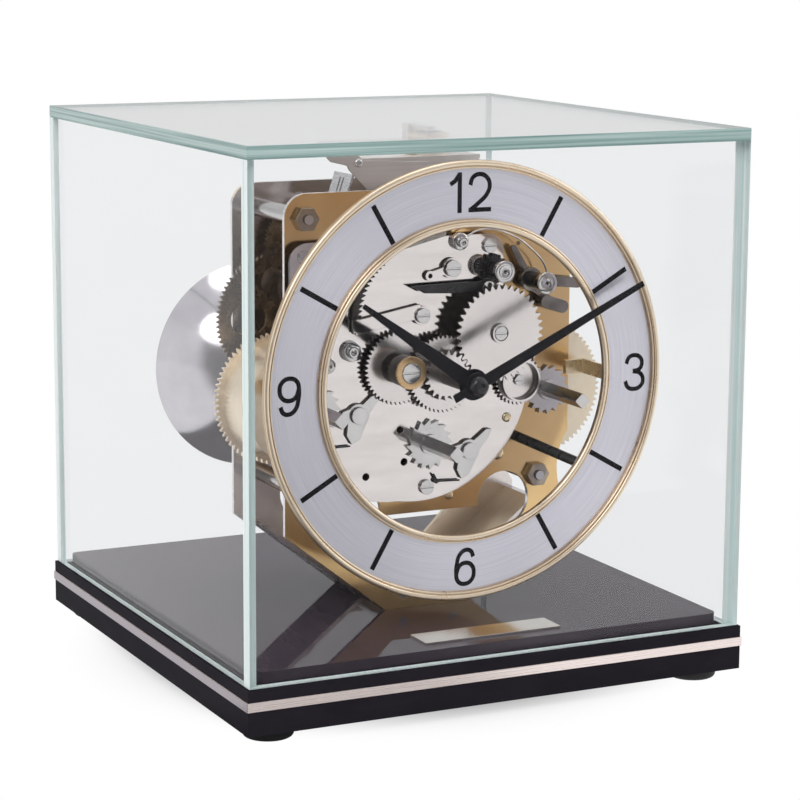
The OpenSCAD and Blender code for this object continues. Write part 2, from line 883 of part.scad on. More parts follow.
// Motion work: minute wheel with its pinion and long collar, hour wheel with its pipe, and the wheel
// that turns once a day, which has a raised ring round its screw
minute_turn = mesh(cannon_teeth, minute_teeth, minute_dir, 0);
module minute_wheel() {
  color("#c8c2c0")
    difference() {
      union() {
        wheel(minute_at, minute_teeth, motion_m, minute_turn, minute_wheel_y, wheel_t);
        wheel(minute_at, minute_pinion, motion_m, minute_turn, minute_pinion_y, 3.5);
        rod(minute_at, collar_front, hour_wheel_y - collar_clear, collar_r);
      }
      rod(minute_at, collar_front - 1, minute_wheel_y + 3, wheel_stud_r + run_fit);
    }
}
hour_turn = mesh(minute_pinion, hour_teeth, minute_dir + 180, minute_turn);
module hour_wheel() {
  color("#c8c2c0")
    difference() {
      union() {
        wheel(centre_at, hour_teeth, motion_m, hour_turn, hour_wheel_y, wheel_t);
        wheel(centre_at, night_pinion, night_m, hour_turn, night_y, 3.7);
        rod(centre_at, hour_hand_y - 0.4, night_y + 1, pipe_r);
      }
      rod(centre_at, hour_hand_y - 1, hour_wheel_y + 3, pipe_bore);
    }
}
night_turn = mesh(night_pinion, night_teeth, night_dir, hour_turn);
module night_wheel() {
  color("#dcd5d3")
    difference() {
      union() {
        wheel(night_at, night_teeth, night_m, night_turn, night_y, wheel_t);
        rod(night_at, night_y - ring_up, night_y + 0.5, night_ring_r);
      }
      rod(night_at, night_y - ring_up - 1, night_y, night_ring_in);
      rod(night_at, night_y - 1, night_y + 3, wheel_stud_r + run_fit);
    }
}

// Hands: each drawn upright, then turned to the time shown
minute_angle = -shown_minutes*6;
hour_angle = -shown_minutes/2;
hub_r = 5.5;
hour_hub_r = 6.6;
hand_nut_r = 4.2;
tail_w = 3.4;
module hand_at(angle, y0) {
  slab(y0, y0 + hand_t)
    translate(centre_at)
      rotate(angle)
        children();
}
module hour_hand() {
  color("#25222c")
    hand_at(hour_angle, hour_hand_y)
      difference() {
        union() {
          circle(hour_hub_r);
          polygon([
            [hour_w/2, 0], [hour_tip_w/2, hour_len],
            [-hour_tip_w/2, hour_len], [-hour_w/2, 0]
          ]);
        }
        circle(pipe_r + push_fit);
      }
}
module minute_hand() {
  color("#25222c")
    hand_at(minute_angle, minute_hand_y)
      difference() {
        union() {
          circle(hub_r);
          polygon([
            [tail_w/2, -minute_tail], [tail_w/2, 0], [minute_w/2, 0], [minute_tip_w/2, minute_len],
            [-minute_tip_w/2, minute_len], [-minute_w/2, 0], [-tail_w/2, 0], [-tail_w/2, -minute_tail]
          ]);
        }
        circle(centre_front_r + push_fit);
      }
}
module hand_nut() {
  color("#1c1a20")
    difference() {
      union() {
        rod(centre_at, nut_front + 1, minute_hand_y, hand_nut_r);
        translate([centre_at[0], nut_front + 1, centre_at[1]])
          rotate([90, 0, 0])
            cylinder(h = 1, r1 = hand_nut_r, r2 = hand_nut_r - 1);
      }
      rod(centre_at, arbor_front - 0.2, minute_hand_y + 1, centre_front_r + push_fit);
    }
}

// Barrels: a drum with a great wheel at one end, running on its winding arbor
module barrel(at, teeth, turn, drum_y, wheel_y) {
  cap_y = wheel_y < drum_y ? drum_y + drum_len - 1.5 : drum_y;
  difference() {
    union() {
      wheel(at, teeth, barrel_m, turn, wheel_y, wheel_t + 0.5);
      rod(at, drum_y, drum_y + drum_len, drum_r);
      rod(at, min(drum_y, wheel_y), max(drum_y + drum_len, wheel_y + wheel_t), drum_r - 2);
    }
    rod(at, min(drum_y, wheel_y) - 1, max(drum_y + drum_len, wheel_y + wheel_t) + 2, winder_r + run_fit);
    ring_groove(at, cap_y);
  }
}
module ring_groove(at, cap_y) {
  slab(cap_y + 0.5, cap_y + 1)
    translate(at)
      difference() {
        circle(drum_r + 1);
        circle(drum_r - 0.6);
      }
}
module time_barrel() {
  color("#d9b878")
    barrel(time_at, time_great_teeth, 0, time_drum_y, time_wheel_y);
}
module strike_barrel() {
  color("#d9b878")
    barrel(strike_at, great_teeth, 0, side_drum_y, strike_wheel_y);
}
module chime_barrel() {
  color("#d9b878")
    barrel(chime_at, great_teeth, 0, side_drum_y + 2, chime_wheel_y);
}

// Time train above the centre arbor
time_third_turn = mesh(centre_teeth, third_pinion, time_third_dir, 0);
module third_wheel() {
  color("#cfae6a") {
    train_arbor(time_third_at);
    wheel(time_third_at, third_pinion, centre_m, time_third_turn, centre_wheel_y - 1, wheel_t + 2);
    wheel(time_third_at, time_third_teeth, time_third_m, time_third_turn, time_third_y, wheel_t, 5);
  }
}
fourth_turn = mesh(time_third_teeth, fourth_pinion, time_fourth_dir, time_third_turn);
crown_r = 9;
crown_teeth = 34;
crown_depth = 1;
module fourth_wheel() {
  color("#cfae6a") {
    train_arbor(time_fourth_at);
    wheel(time_fourth_at, fourth_pinion, time_third_m, fourth_turn, time_third_y - 1, wheel_t + 2);
    slab(fourth_wheel_y, fourth_wheel_y + wheel_t)
      translate(time_fourth_at)
        circle(crown_r);
    slab(fourth_wheel_y - crown_depth, fourth_wheel_y + 0.2)
      for (i = [0 : crown_teeth - 1])
        translate(time_fourth_at)
          rotate(i*360/crown_teeth)
            translate([crown_r - 1.2, -0.3])
              square([1.1, 0.6]);
  }
}

// Strike and chime trains, each with a second wheel, a third wheel and a fly that steadies it
module second_wheel(at, turn, pinion_y) {
  train_arbor(at);
  wheel(at, second_pinion, barrel_m, turn, pinion_y - 0.5, wheel_t + 1.5);
  wheel(at, second_teeth, second_m, turn, second_wheel_y, wheel_t, 5);
}
strike_second_turn = mesh(great_teeth, second_pinion, second_dir, 0);
chime_second_turn = mesh(great_teeth, second_pinion, 180 - second_dir, 0);
strike_third_turn = mesh(second_teeth, third_pinion, third_dir, strike_second_turn);
chime_third_turn = mesh(second_teeth, third_pinion, 180 - third_dir, chime_second_turn);
strike_fly_turn = mesh(strike_third_teeth, fly_pinion, fly_dir, strike_third_turn);
chime_fly_turn = mesh(strike_third_teeth, fly_pinion, 180 - fly_dir, chime_third_turn);
module strike_second_wheel() {
  color("#d3b06d")
    second_wheel(strike_second_at, strike_second_turn, strike_wheel_y);
}
module chime_second_wheel() {
  color("#d3b06d")
    second_wheel(chime_second_at, chime_second_turn, chime_wheel_y);
}
module strike_third_wheel() {
  color("#d3b06d") {
    train_arbor(strike_third_at);
    wheel(strike_third_at, third_pinion, second_m, strike_third_turn, second_wheel_y - 1, wheel_t + 2);
    wheel(strike_third_at, strike_third_teeth, strike_third_m, strike_third_turn, strike_third_y, wheel_t);
  }
}
module chime_third_wheel() {
  color("#d3b06d") {
    train_arbor(chime_third_at);
    wheel(chime_third_at, third_pinion, second_m, chime_third_turn, second_wheel_y - 1, wheel_t + 2);
    wheel(chime_third_at, strike_third_teeth, strike_third_m, chime_third_turn, chime_third_y, wheel_t);
  }
}
// The vane is a bent sheet with two slots at each end
module fly(at, turn, pinion_y, lean) {
  train_arbor(at);
  wheel(at, fly_pinion, strike_third_m, turn, pinion_y - 1, wheel_t + 2);
  difference() {
    translate([at[0], fly_y, at[1]])
      rotate([0, lean, 0])
        translate([-0.5, 0, -fly_reach])
          cube([1, fly_len, 2*fly_reach]);
    for (s = [-1, 1], k = [-1, 1])
      translate([at[0], fly_y + fly_len/2 + k*1.6, at[1]])
        rotate([0, lean, 0])
          translate([-2, -0.6, s*(fly_reach - 6) - 4])
            cube([4, 1.2, 8]);
  }
}
module strike_fly() {
  color("#d4d0d4")
    fly(strike_fly_at, strike_fly_turn, strike_third_y, 18);
}
module chime_fly() {
  color("#d4d0d4")
    fly(chime_fly_at, chime_fly_turn, chime_third_y, -35);
}

// Count wheel of the chime, a toothed wheel with a raised rim round its hollow face
count_y = bridge_front - 2.6;
count_rim_up = 3;
count_rim_r = 9.2;
count_rim_t = 0.9;
module count_wheel() {
  color("#d2cccb")
    difference() {
      union() {
        wheel(count_at, count_teeth, count_m, 0, count_y, wheel_t);
        rod(count_at, count_y - count_rim_up, count_y + 0.5, count_rim_r);
      }
      rod(count_at, count_y - count_rim_up - 1, count_y, count_rim_r - count_rim_t);
      rod(count_at, count_y - 1, count_y + 3, wheel_stud_r + run_fit);
    }
}

// Strike rack: an arc with saw teeth on its inner edge, swinging on a stud
rack_in = 28;
rack_out = 32.5;
rack_from = 128;
rack_span = 62;
rack_teeth = 14;
rack_arm_w = 6;
rack_step = rack_span/rack_teeth;
rack_tooth = 2;
module strike_rack() {
  color("#4a4648")
    slab(rack_y, rack_y + 1.5)
      translate(rack_at)
        difference() {
          union() {
            polygon(concat(
              [for (i = [rack_teeth - 1 : -1 : 0]) let (a = rack_from + i*rack_step) each
                [at_angle(rack_in + rack_tooth, a + rack_step*0.9), at_angle(rack_in, a)]],
              [for (i = [0 : 15]) at_angle(rack_out, rack_from + i*rack_span/15)]
            ));
            circle(4);
            rotate(rack_from + rack_span)
              translate([0, -rack_arm_w + 1])
                square([rack_in + 3.5, rack_arm_w]);
          }
          circle(wheel_stud_r + run_fit);
        }
}

// Lifting lever: a pointed blade on a stud
lever_len = 36;
module lifting_lever() {
  color("#5a5556") {
    difference() {
      slab(lever_y, lever_y + 1.5)
        translate(lift_at) {
          circle(4);
          polygon([[0, -2.5], [0, 3], [-lever_len + 8, 2.6], [-lever_len, 2.4], [-lever_len + 6, -0.8]]);
        }
      rod(lift_at, lever_y - 1, lever_y + 3, wheel_stud_r + run_fit);
    }
  }
}

// Silence lever: a short keyhole-shaped link under a slotted screw
silence_y = bridge_front - 1.9;
silence_len = 10.7;
silence_dir = 195;
module silence_lever() {
  color("#d2cccb")
    slab(silence_y, silence_y + 1.3)
      translate(silence_at)
        difference() {
          union() {
            circle(4.4);
            rotate(silence_dir)
              translate([0, -1.6])
                square([silence_len, 3.2]);
            translate(at_angle(silence_len, silence_dir))
              circle(2.2);
          }
          circle(wheel_stud_r + run_fit);
          translate(at_angle(silence_len, silence_dir))
            circle(1);
        }
}

// Platform with its front ear and the two posts that hold it to the front plate
platform_z = plate_top + 11;
platform_t = 1.5;
platform_left = -30;
platform_right = 28;
platform_set_back = 7.5;
platform_depth = 40;
platform_front = front_in + platform_set_back;
platform_back = platform_front + platform_depth;
ear_drop = 7;
ear_low = plate_top - ear_drop;
post_xs = [-4, 18];
escape_at = [time_fourth_at[0], fourth_wheel_y - crown_depth - 2.4];
lever_pivot = [escape_at[0] + 6, escape_at[1] + 4];
balance_at = [lever_pivot[0] + 6.5, lever_pivot[1] + 3.8];
staff_r = 0.6;
module platform() {
  color("#b4b0b0")
    difference() {
      union() {
        translate([platform_left, platform_front, platform_z])
          cube([platform_right - platform_left, platform_back - platform_front, platform_t]);
        slab(platform_front, platform_front + platform_t)
          polygon([
            [platform_left - 4, platform_z + platform_t], [platform_left - 4, platform_z - 2],
            [platform_left + 1, platform_z - 5], [platform_left + 6.5, platform_z - 12.5],
            [platform_left + 17, ear_low], [platform_right - 4, ear_low],
            [platform_right, platform_z + platform_t]
          ]);
        for (x = post_xs)
          rod([x, ear_low + 3.5], front_in, platform_front + 0.2, 2);
      }
      for (p = [escape_at, lever_pivot, balance_at])
        translate([p[0], p[1], platform_z - 1])
          cylinder(h = platform_t + 2, r = staff_r + run_fit);
    }
}

// Escape wheel on an upright arbor, with the pinion that stands in front of the fourth wheel's crown
escape_z = platform_z + platform_t + 0.6;
escape_r = 4.4;
escape_teeth = 15;
escape_low_up = 5;
escape_low = time_fourth_at[1] + escape_low_up;
escape_cap = 1.2;
escape_t = 0.6;
escape_hook = 1.2;
escape_pinion = 8;
escape_pinion_m = 0.4;
escape_pinion_h = 4;
module escape_wheel() {
  color("#d8bd7c") {
    translate([escape_at[0], escape_at[1], escape_low])
      cylinder(h = escape_z + escape_cap - escape_low, r = staff_r);
    translate([escape_at[0], escape_at[1], escape_low + 1])
      linear_extrude(height = escape_pinion_h)
        polygon(wheel_points(escape_pinion, escape_pinion_m));
    translate([escape_at[0], escape_at[1], escape_z])
      linear_extrude(height = escape_t)
        polygon([for (i = [0 : escape_teeth - 1])
          let (a = i*360/escape_teeth, low_r = escape_r - escape_hook)
            each [at_angle(low_r, a), at_angle(escape_r, a + 6), at_angle(low_r, a + 10)]]);
  }
}

// Pallet lever between the escape wheel and the balance
module pallet_lever() {
  towards = atan2(balance_at[1] - lever_pivot[1], balance_at[0] - lever_pivot[0]);
  color("#c9c4c4")
    translate([lever_pivot[0], lever_pivot[1], 0]) {
      translate([0, 0, platform_z])
        cylinder(h = escape_z + 1.2 - platform_z, r = staff_r);
      translate([0, 0, escape_z])
        linear_extrude(height = 0.8)
          rotate(towards)
            polygon([[-1.6, -3], [-1, -3], [1, -0.8], [5, -0.5], [5, 0.5], [1, 0.8], [-1, 3], [-1.6, 3]]);
    }
}

// Balance wheel with two arms, its staff and the collet of the hairspring
balance_z = escape_z + 1.8;
balance_r = 9.5;
staff_top = balance_z + 4;
collet_r = 1.3;
module balance_wheel() {
  color("#d9bf80")
    translate([balance_at[0], balance_at[1], 0]) {
      translate([0, 0, platform_z])
        cylinder(h = staff_top - platform_z, r = staff_r);
      translate([0, 0, balance_z]) {
        linear_extrude(height = 1.2)
          difference() {
            circle(balance_r);
            circle(balance_r - 1.3);
          }
        linear_extrude(height = 0.8)
          square([2*balance_r - 1.4, 1.6], center = true);
        cylinder(h = 2.6, r = collet_r);
      }
    }
}

// Hairspring: one flat spiral of fine wire from the collet outwards
spring_turns = 5;
spring_steps = 24;
spring_pitch = 0.92;
spring_wire_r = 0.2;
spring_start = collet_r + spring_wire_r + 0.12;
spring_z = balance_z + 2;
spring_n = spring_turns*spring_steps;
function spring_r(i) = spring_start + spring_pitch*i/spring_steps;
function spring_ring(i) =
  let (a = 90 + i*360/spring_steps)
  [for (k = [0 : 5]) let (b = k*60, r = spring_r(i) + spring_wire_r*cos(b))
    [r*cos(a), r*sin(a), spring_wire_r*sin(b)]];
function spring_mid(i) = let (a = 90 + i*360/spring_steps) [spring_r(i)*cos(a), spring_r(i)*sin(a)];
spring_gap = min([for (i = [0 : spring_n - spring_steps], j = [spring_steps - 2 : spring_steps + 2])
  if (i + j <= spring_n) norm(spring_mid(i + j) - spring_mid(i))]) - 2*spring_wire_r;
module hairspring() {
  points = [for (i = [0 : spring_n]) each spring_ring(i)];
  sides = [for (i = [0 : spring_n - 1], k = [0 : 5]) let (
      a = 6*i + k, b = 6*i + (k + 1)%6, c = a + 6, d = b + 6)
    each [[a, b, c], [b, d, c]]];
  low_end = [for (k = [1 : 4]) [0, k + 1, k]];
  high_end = [for (k = [1 : 4]) [6*spring_n, 6*spring_n + k, 6*spring_n + k + 1]];
  echo("least gap between turns of the hairspring", spring_gap);
  color("#4a5a80")
    translate([balance_at[0], balance_at[1], spring_z])
      polyhedron(points = points, faces = concat(sides, low_end, high_end));
}

// Balance cock, a bridge from the platform over the balance
cock_z = staff_top - 0.9;
cock_t = 1.4;
spring_pin_r = 0.5;
cock_foot_y = balance_at[1] + balance_r + 2;
module balance_cock() {
  color("#c9c4c4")
    difference() {
      union() {
        translate([balance_at[0] - 4, cock_foot_y, platform_z + platform_t])
          cube([8, 6, cock_z - platform_z - platform_t + 0.2]);
        translate([0, 0, cock_z])
          linear_extrude(height = cock_t) {
            translate(balance_at)
              circle(3.4);
            translate([balance_at[0] - 2.6, balance_at[1]])
              square([5.2, cock_foot_y - balance_at[1] + 3]);
            translate([balance_at[0] - 4, cock_foot_y])
              square([8, 6]);
          }
        translate([balance_at[0] - spring_pin_r - 0.05, balance_at[1] + spring_r(spring_n), spring_z - 0.4])
          cylinder(h = cock_z - spring_z + 0.6, r = spring_pin_r);
      }
      translate([balance_at[0], balance_at[1], cock_z - 1])
        cylinder(h = cock_t + 2, r = staff_r + run_fit);
    }
}

// Bell: a spherical cup with its crown towards the back plate and its mouth to the rear
bell_sphere = (bell_r*bell_r + bell_depth*bell_depth)/(2*bell_depth);
bell_crown_y = back_out + bell_back;
bell_mid_y = bell_crown_y + bell_sphere;
module bell() {
  color("#d2ced4")
    difference() {
      intersection() {
        translate([bell_at[0], bell_mid_y, bell_at[1]])
          rotate([90, 0, 0])
            sphere(r = bell_sphere, $fn = 96);
        translate([bell_at[0] - bell_sphere, bell_crown_y - 1, bell_at[1] - bell_sphere])
          cube([2*bell_sphere, bell_depth + 1, 2*bell_sphere]);
      }
      translate([bell_at[0], bell_mid_y, bell_at[1]])
        rotate([90, 0, 0])
          sphere(r = bell_sphere - bell_wall, $fn = 96);
      rod(bell_at, bell_crown_y - 1, bell_crown_y + 6, bell_post_r + 0.1);
    }
}
bell_post_r = 2.5;
bell_nut_y = bell_crown_y + bell_wall + 0.4;
module bell_post() {
  color("#c9a563") {
    rod(bell_at, back_out, bell_crown_y, 6);
    rod(bell_at, bell_crown_y - 0.5, bell_nut_y + 6, bell_post_r);
    translate([bell_at[0], bell_nut_y + 4, bell_at[1]])
      rotate([90, 0, 0])
        cylinder(h = 4, r = 5.2, $fn = 6);
  }
}

// Hammer: a hub on its post, a flat arm and a round head that stands clear of the bell
hammer_head_r = 4.6;
bell_at_hammer = sqrt(pow(bell_sphere, 2) - pow(bell_mid_y - hammer_y - hammer_head_r, 2));
hammer_head_len = 13;
hammer_clear = 1.6;
hammer_face = bell_at[0] + bell_at_hammer + hammer_clear;
hammer_arm_dx = hammer_face + hammer_head_len*0.6 - hammer_at[0];
hammer_lean = atan2(hammer_arm_dx, bell_at[1] - hammer_at[1]);
hammer_arm = norm([hammer_arm_dx, bell_at[1] - hammer_at[1]]);
module hammer() {
  color("#8b8788")
    difference() {
      union() {
        rod(hammer_at, hammer_y - 3, hammer_y + 8.6, 4);
        slab(hammer_y - 1.2, hammer_y + 1.2)
          translate(hammer_at)
            rotate(-hammer_lean)
              translate([-2, 0])
                square([4, hammer_arm]);
        translate([hammer_face, hammer_y, bell_at[1]])
          rotate([0, 90, 0])
            cylinder(h = hammer_head_len, r = hammer_head_r);
      }
      rod(hammer_at, hammer_y - 5, hammer_y + 10, 2 + run_fit);
    }
}

// Winders: arbor through the barrel, ratchet wheel in front of its plate, squared end for the key
module winder(at, y_ratchet) {
  rod(at, y_ratchet, back_out, winder_r);
  slab(y_ratchet, y_ratchet + ratchet_t)
    translate(at)
      polygon([for (i = [0 : ratchet_teeth - 1]) let (a = i*360/ratchet_teeth) each
        [at_angle(ratchet_r - 2.2, a - 3), at_angle(ratchet_r, a)]]);
  rod(at, y_ratchet - 1.2, y_ratchet + 0.1, 4.4);
  intersection() {
    slab(winder_front, y_ratchet)
      translate(at)
        rotate(45)
          square(square_af, center = true);
    rod(at, winder_front, y_ratchet + 1, square_af*0.66);
  }
}
module time_winder() {
  color("#6a6668")
    winder(time_at, ratchet_y);
}
module strike_winder() {
  color("#6a6668")
    winder(strike_at, ratchet_y);
}
module chime_winder() {
  color("#6a6668")
    winder(chime_at, chime_ratchet_y);
}

// Clicks: each swings on a rivet and rests with its nose just outside the ratchet's teeth
click_nose = ratchet_r + click_clear;
module click_stud(at, dir, y_front, y_seat) {
  p = polar(at, click_reach, dir);
  rod(p, y_front - 0.4, y_seat, click_hole_r - run_fit);
  rod(p, y_front - 1.6, y_front - 0.4, 3.7);
}
// Drawn with the rivet at the origin and the ratchet to the left
module click_shape() {
  union() {
    circle(5);
    polygon([
      [4.6, 1], [8, 7], [8.4, 11], [6, 10.5], [1, 4.6], [-4, 2.6],
      [-click_reach + click_nose + 0.4, 0.8], [-click_reach + click_nose, -1.2], [-3, -4]
    ]);
    polygon([[-4.4, -2], [-4, -9], [-1, -12.5], [2.5, -10], [4.4, -2]]);
  }
}
module click(at, dir, y0) {
  slab(y0, y0 + ratchet_t)
    translate(polar(at, click_reach, dir))
      rotate(dir)
        difference() {
          click_shape();
          circle(click_hole_r);
        }
}
module time_click() {
  color("#d8d2d1")
    click(time_at, time_click_dir, ratchet_y);
}
module strike_click() {
  color("#d8d2d1")
    click(strike_at, strike_click_dir, ratchet_y);
}
module chime_click() {
  color("#d8d2d1")
    click(chime_at, chime_click_dir, chime_ratchet_y);
}

// Click springs: flat wires, each riveted to its plate at one end, that press on the click's tail
module click_spring(at, dir, y0, y_seat) {
  p = polar(at, click_reach, dir);
  translate([p[0], 0, p[1]])
    rotate([0, -dir, 0]) {
      slab(y0, y0 + 1.2)
        polygon([
          [-12.4, -15.6], [-1.6, -13.6], [-1.5, -13], [-12, -14.8], [-14.4, -12.2], [-15, -12.5]
        ]);
      slab(y0, y_seat)
        translate([-12.6, -15.2])
          circle(1.1);
    }
}
module click_springs() {
  color("#8d898b") {
    click_spring(time_at, time_click_dir, ratchet_y, bridge_front);
    click_spring(strike_at, strike_click_dir, ratchet_y, bridge_front);
    click_spring(chime_at, chime_click_dir, chime_ratchet_y, plate_y);
  }
}

plinth();
trim_band();
display_panel();
feet();
name_plate();
seat_screws();
glass_front();
glass_back();
glass_left();
glass_right();
glass_top();
front_plate();
back_plate();
plate_pillars();
pillar_nuts();
bridge_plate();
bridge_posts();
plate_studs();
dial_ring();
dial_rims();
dial_brackets();
dial_strut();
centre_arbor();
minute_wheel();
hour_wheel();
night_wheel();
hour_hand();
minute_hand();
hand_nut();
time_barrel();
third_wheel();
fourth_wheel();
platform();
escape_wheel();
pallet_lever();
balance_wheel();
hairspring();
balance_cock();
strike_barrel();
strike_second_wheel();
strike_third_wheel();
strike_fly();
strike_rack();
hammer();
bell();
bell_post();
chime_barrel();
chime_second_wheel();
chime_third_wheel();
chime_fly();
count_wheel();
time_winder();
strike_winder();
chime_winder();
time_click();
strike_click();
chime_click();
click_springs();
lifting_lever();
silence_lever();
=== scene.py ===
import json
import math

import bmesh
import bpy
from mathutils import Matrix, Quaternion, Vector


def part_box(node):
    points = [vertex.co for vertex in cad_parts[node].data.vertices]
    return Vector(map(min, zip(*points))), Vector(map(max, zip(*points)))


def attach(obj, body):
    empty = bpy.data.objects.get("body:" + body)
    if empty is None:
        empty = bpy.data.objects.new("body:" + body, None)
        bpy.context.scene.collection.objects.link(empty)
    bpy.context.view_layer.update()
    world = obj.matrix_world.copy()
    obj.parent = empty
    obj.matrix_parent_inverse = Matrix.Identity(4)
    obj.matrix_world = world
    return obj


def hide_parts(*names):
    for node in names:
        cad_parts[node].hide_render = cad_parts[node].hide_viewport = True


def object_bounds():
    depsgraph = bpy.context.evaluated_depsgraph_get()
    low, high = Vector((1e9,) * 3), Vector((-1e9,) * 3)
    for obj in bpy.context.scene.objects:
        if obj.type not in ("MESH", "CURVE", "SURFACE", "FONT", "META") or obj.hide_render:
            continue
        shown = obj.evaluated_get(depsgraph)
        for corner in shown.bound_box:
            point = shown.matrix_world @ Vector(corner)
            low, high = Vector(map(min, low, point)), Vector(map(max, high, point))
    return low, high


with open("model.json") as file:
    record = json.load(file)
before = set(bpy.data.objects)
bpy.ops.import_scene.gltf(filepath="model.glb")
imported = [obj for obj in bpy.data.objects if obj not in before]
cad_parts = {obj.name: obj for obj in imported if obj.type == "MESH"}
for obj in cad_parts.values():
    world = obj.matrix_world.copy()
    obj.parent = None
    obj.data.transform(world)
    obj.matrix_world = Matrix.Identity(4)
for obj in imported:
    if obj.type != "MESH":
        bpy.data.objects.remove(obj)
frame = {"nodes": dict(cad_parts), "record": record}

cad_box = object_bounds()
nodes = frame["nodes"]
body_of = {node: body for body, held in frame["record"]["behaviour"]["bodies"].items() for node in held}

# The studio: the photograph's camera stands low and to the left of the clock. The clock rests on
# a plain white floor that fades into a white surround, under one large soft lamp at the left,
# a weaker one at the right and one overhead.
scene = bpy.context.scene
scene.view_settings.view_transform = "Standard"
scene.cycles.max_bounces = 28
scene.cycles.transmission_bounces = 28
scene.cycles.glossy_bounces = 8
scene.cycles.transparent_max_bounces = 24

image_px = 800
focal_px = 2609.7
eye = Vector((-0.4973, -1.0288, 0.3239))
aim = Vector((0.0084, 0.0, 0.1113))
lean = math.radians(0.32)
camera_data = bpy.data.cameras.new("camera")
camera_data.sensor_width = 36.0
camera_data.lens = camera_data.sensor_width*focal_px/image_px
camera = bpy.data.objects.new("camera", camera_data)
camera.location = eye
camera.rotation_mode = "QUATERNION"
camera.rotation_quaternion = (aim - eye).to_track_quat("-Z", "Y") @ Quaternion((0, 0, 1), lean)
scene.collection.objects.link(camera)
scene.camera = camera


def link(tree, out_node, out_name, in_node, in_name):
    tree.links.new(out_node.outputs[out_name], in_node.inputs[in_name])


def sums(tree, kind, first, second):
    """A math node on two links or numbers, given back for its one output."""
    node = tree.nodes.new("ShaderNodeMath")
    node.operation = kind
    for socket, value in zip(node.inputs, (first, second)):
        if isinstance(value, (int, float)):
            socket.default_value = value
        else:
            tree.links.new(value, socket)
    return node.outputs[0]


def seen_straight(tree):
    """1 where a ray comes from the camera, mirrors and glass alone, with no matt surface on its way."""
    path = tree.nodes.new("ShaderNodeLightPath")
    seen = sums(tree, "MAXIMUM", path.outputs["Is Camera Ray"], path.outputs["Is Glossy Ray"])
    seen = sums(tree, "MAXIMUM", seen, path.outputs["Is Transmission Ray"])
    clear = sums(tree, "LESS_THAN", path.outputs["Diffuse Depth"], 0.5)
    return path, sums(tree, "MULTIPLY", seen, clear)


def soft_step(tree, value, start, end, before=0.0, after=1.0):
    """A number that changes smoothly from one level to another between two places."""
    node = tree.nodes.new("ShaderNodeMapRange")
    node.interpolation_type = "SMOOTHSTEP"
    for name, number in (("From Min", start), ("From Max", end), ("To Min", before), ("To Max", after)):
        node.inputs[name].default_value = number
    tree.links.new(value, node.inputs["Value"])
    return node.outputs["Result"]


dark_side = (-0.4352, -0.9003, 0.0)
room_dark = 0.22
dark_from, dark_full = 0.72, 0.93


def lit_share(tree, toward):
    """What polished metal meets that way: 1 at the lit sides, and less toward the room's dark side."""
    level = tree.nodes.new("ShaderNodeVectorMath")
    level.operation = "MULTIPLY"
    level.inputs[1].default_value = (1, 1, 0)
    tree.links.new(toward, level.inputs[0])
    flat = tree.nodes.new("ShaderNodeVectorMath")
    flat.operation = "NORMALIZE"
    link(tree, level, "Vector", flat, 0)
    facing = tree.nodes.new("ShaderNodeVectorMath")
    facing.operation = "DOT_PRODUCT"
    facing.inputs[1].default_value = dark_side
    link(tree, flat, "Vector", facing, 0)
    return soft_step(tree, facing.outputs["Value"], dark_from, dark_full, 1.0, room_dark)


surround = bpy.data.worlds.new("white_surround")
surround.use_nodes = True
tree = surround.node_tree
tree.nodes.clear()
surround_light = 0.50
horizon = (0.26, 0.26, 0.28, 1)
ceiling = (0.78, 0.78, 0.79, 1)
ceiling_from = 0.60
back_wall_light = 0.70
back_wall_from, back_wall_full = 0.45, 0.85
left_wall_light = 0.90
left_wall_from, left_wall_full = -0.20, -0.60
wall_top, wall_top_full = 0.62, 0.50
ambient = tree.nodes.new("ShaderNodeBackground")
ambient.inputs["Color"].default_value = (0.98, 0.99, 1.0, 1)
backdrop = tree.nodes.new("ShaderNodeBackground")
backdrop.inputs["Strength"].default_value = 1.0
path, straight = seen_straight(tree)
toward = tree.nodes.new("ShaderNodeTexCoord")
parts = tree.nodes.new("ShaderNodeSeparateXYZ")
link(tree, toward, "Generated", parts, "Vector")
sky = tree.nodes.new("ShaderNodeValToRGB")
sky.color_ramp.elements[0].position = 0.0
sky.color_ramp.elements[0].color = horizon
sky.color_ramp.elements[1].position = ceiling_from
sky.color_ramp.elements[1].color = ceiling
link(tree, parts, "Z", sky, "Fac")
mirrored = tree.nodes.new("ShaderNodeMixRGB")
mirrored.inputs["Color1"].default_value = (1, 1, 1, 1)
tree.links.new(sums(tree, "GREATER_THAN", path.outputs["Glossy Depth"], 0.5), mirrored.inputs["Fac"])
back_wall = soft_step(tree, parts.outputs["Y"], back_wall_from, back_wall_full, 0.0, back_wall_light)
left_wall = soft_step(tree, parts.outputs["X"], left_wall_from, left_wall_full, 0.0, left_wall_light)
below_wall_top = soft_step(tree, parts.outputs["Z"], wall_top, wall_top_full)
walls = sums(tree, "MAXIMUM", back_wall, sums(tree, "MULTIPLY", left_wall, below_wall_top))
brighter = tree.nodes.new("ShaderNodeVectorMath")
brighter.operation = "MAXIMUM"
link(tree, sky, "Color", brighter, 0)
tree.links.new(walls, brighter.inputs[1])
dimmed = tree.nodes.new("ShaderNodeVectorMath")
dimmed.operation = "SCALE"
link(tree, brighter, "Vector", dimmed, 0)
tree.links.new(lit_share(tree, toward.outputs["Generated"]), dimmed.inputs["Scale"])
link(tree, dimmed, "Vector", mirrored, "Color2")
link(tree, mirrored, "Color", backdrop, "Color")
through_glass = sums(tree, "SUBTRACT", 1.0, path.outputs["Is Transmission Ray"])
tree.links.new(sums(tree, "MULTIPLY", through_glass, surround_light), ambient.inputs["Strength"])
blend = tree.nodes.new("ShaderNodeMixShader")
tree.links.new(straight, blend.inputs["Fac"])
